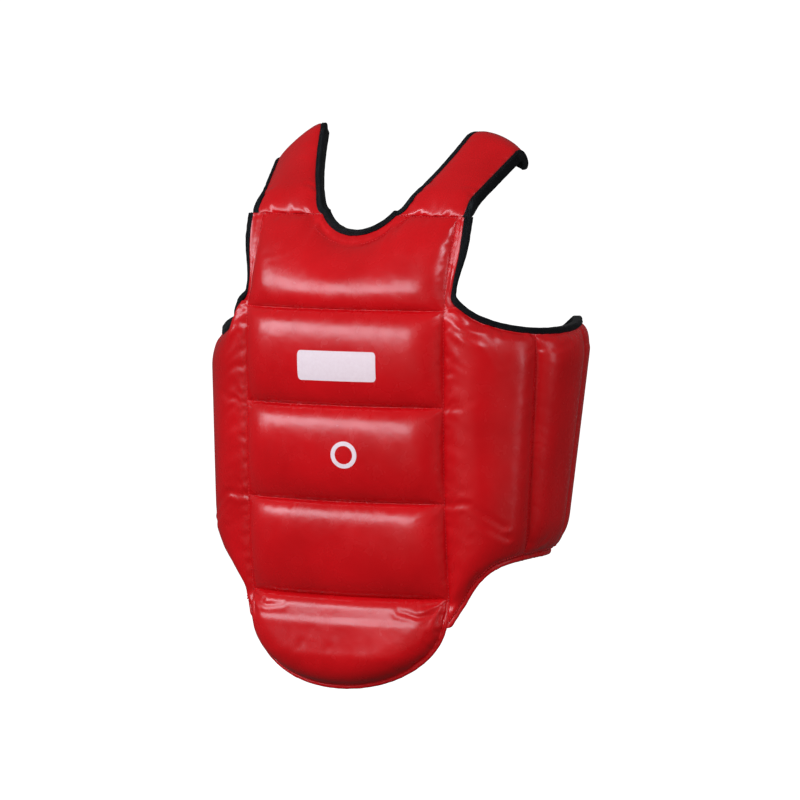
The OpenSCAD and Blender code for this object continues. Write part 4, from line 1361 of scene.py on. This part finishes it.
def make_shoulder_band(side):
    x0 = SIDES[side] * SHOULDER_X - SHOULDER_W / 2
    x1 = x0 + SHOULDER_W
    top = YOKE_TOP - 4
    split, low = top - SHOULDER_L + SHOULDER_TAB_L, top - SHOULDER_L
    body = f"{side}_shoulder_band"

    def band_y(z):
        return yoke_y(YOKE_TOP) + 2.8 + 0 * z

    flat_panel(body, x0, x1, split, top, band_y, SHOULDER_T, ELASTIC, body)
    flat_panel(f"{side}_shoulder_tab", x0, x1, low, split, band_y, SHOULDER_TAB_T, HOOK, body)
    x0, x1 = x0 + 3, x1 - 3
    runs = back_box(x0, x1, low + 3, split - 3, band_y, SHOULDER_TAB_T)
    runs += [back_line([(x0, z), (x1, z)], band_y, SHOULDER_T) for z in (top - 6, top - 10)]
    sew(f"{side}_shoulder_stitches", runs, BLACK_THREAD, body, pitch=3, radius=0.36)


# ---------------------------------------------------------------- printed blank marks
def print_patch(name, s, z, rise=0.25):
    """A thin printed patch lying on the front cover over a grid (s, z)."""
    t = front_t(s, z)
    shift = settled_shift("center_cover", s, z)
    return shell(name, at(s, z, t + rise) + shift, at(s, z, t - 0.3) + shift)


def make_marks():
    """A plain blank label block on the upper rib and a plain ring on the rib below."""
    s, u = np.meshgrid(np.linspace(-43, 43, 87), np.linspace(-1, 1, 13), indexing="ij")
    half = 15.5 - 4 * (1 - np.sqrt(1 - np.clip((np.abs(s) - 39) / 4, 0, 1) ** 2))
    z = seam_z(2) + 42 + u * half
    finish_piece(print_patch("blank_label_print", s + 10, z), PRINT, "front")
    turn = np.linspace(0, 2 * math.pi, 65)
    r, angle = np.meshgrid(np.linspace(9.5, 14, 5), turn[::-1], indexing="ij")
    ring = print_patch("blank_ring_print", 19 + r * np.cos(angle), seam_z(1) + 50 + r * np.sin(angle))
    finish_piece(ring, PRINT, "front")


# ---------------------------------------------------------------- stage
def area_light(name, place, target, width, height, power, colour):
    data = bpy.data.lights.new(name, "AREA")
    data.shape, data.size, data.size_y = "RECTANGLE", width, height
    data.energy, data.color = power, colour
    obj = bpy.data.objects.new(name, data)
    bpy.context.scene.collection.objects.link(obj)
    obj.location = place
    aim(obj, target)
    return obj


def aim(obj, target):
    direction = Vector(target) - obj.location
    obj.rotation_euler = direction.to_track_quat("-Z", "Y").to_euler()


def around(azimuth, elevation, distance, centre):
    """A place seen from centre: azimuth 0 is in front, positive towards +X."""
    az, el = math.radians(azimuth), math.radians(elevation)
    return (centre[0] + distance * math.cos(el) * math.sin(az),
            centre[1] - distance * math.cos(el) * math.cos(az),
            centre[2] + distance * math.sin(el))


def hide_from_light(obj):
    """Seen by the camera only, so that it neither lights nor shades the object."""
    obj.visible_diffuse = obj.visible_glossy = obj.visible_shadow = False
    obj.visible_transmission = obj.visible_volume_scatter = False


def studio_world():
    """Soft white surroundings, brighter overhead than at the sides and below."""
    world = bpy.data.worlds.new("studio")
    bpy.context.scene.world = world
    world.use_nodes = True
    tree = world.node_tree
    place = tree.nodes.new("ShaderNodeTexCoord")
    parts = tree.nodes.new("ShaderNodeSeparateXYZ")
    level = map_range(tree, parts.outputs["Z"], -0.2, 0.9, 0.06, 0.16)
    level.interpolation_type = "SMOOTHSTEP"
    tree.links.new(place.outputs["Generated"], parts.inputs["Vector"])
    tree.links.new(level.outputs["Result"], tree.nodes["Background"].inputs["Strength"])
    tree.nodes["Background"].inputs["Color"].default_value = (1, 1, 1, 1)


def backdrop(name, points, faces):
    """A plain pale stage piece; its points are in metres."""
    obj = mesh_object(name, np.array(points) / MM, faces)
    mat, _, shader = new_material(name, (0.9, 0.9, 0.9), 0.9, Specular_IOR_Level=0.0)
    shader.inputs["Emission Color"].default_value = (1, 1, 1, 1)
    shader.inputs["Emission Strength"].default_value = 1.0
    obj.data.materials.append(mat)
    hide_from_light(obj)
    return obj


def make_stage():
    scene = bpy.context.scene
    scene.view_settings.view_transform = "Standard"
    studio_world()
    centre = (0, 0, 0.29)
    for name, place, width, height, power in (("key_softbox", (-27, 22, 2.3), 3.9, 0.52, 58),
                                              ("side_softbox", (62, 32, 2.3), 0.55, 0.5, 9),
                                              ("rim_softbox", (100, 12, 2.6), 0.25, 1.6, 6)):
        area_light(name, around(*place, centre), centre, width, height, power, KEY_TINT)
    for name, azimuth, power in (("front_fill", 10, 27), ("left_fill", 85, 17), ("back_fill", 190, 40)):
        fill = area_light(name, around(azimuth, 8, 3.0, centre), centre, 2.5, 2.5, power, FILL_TINT)
        fill.visible_glossy = False
    size, drop = 22.0, -0.45
    backdrop("pale_floor", [(-size, -size, drop), (size, -size, drop), (size, size, drop),
                            (-size, size, drop)], [(0, 1, 2, 3)])
    n = 48
    turn = np.arange(n) * 2 * math.pi / n
    rim = [(size * math.cos(a), size * math.sin(a), h) for h in (drop, size) for a in turn]
    backdrop("pale_backdrop", rim, [(k, (k + 1) % n, n + (k + 1) % n, n + k) for k in range(n)])
    camera = bpy.data.objects.new("camera", bpy.data.cameras.new("camera"))
    scene.collection.objects.link(camera)
    camera.data.lens = 256
    camera.data.clip_end = 300
    camera.location = around(30, 4, 6.0, centre)
    aim(camera, centre)
    scene.camera = camera


make_stage()
make_front()
make_flap()
for side_name in SIDES:
    for wing_name in WING_SPAN:
        make_wing(side_name, wing_name)
    make_strap(side_name)
    make_strap_bindings(side_name)
    make_armhole_binding(side_name)
    make_wing_bindings(side_name)
    make_wing_piping(side_name)
    make_shoulder_band(side_name)
make_neck_binding()
make_seam_stitches()
make_waist_bands()
make_yoke()
make_marks()
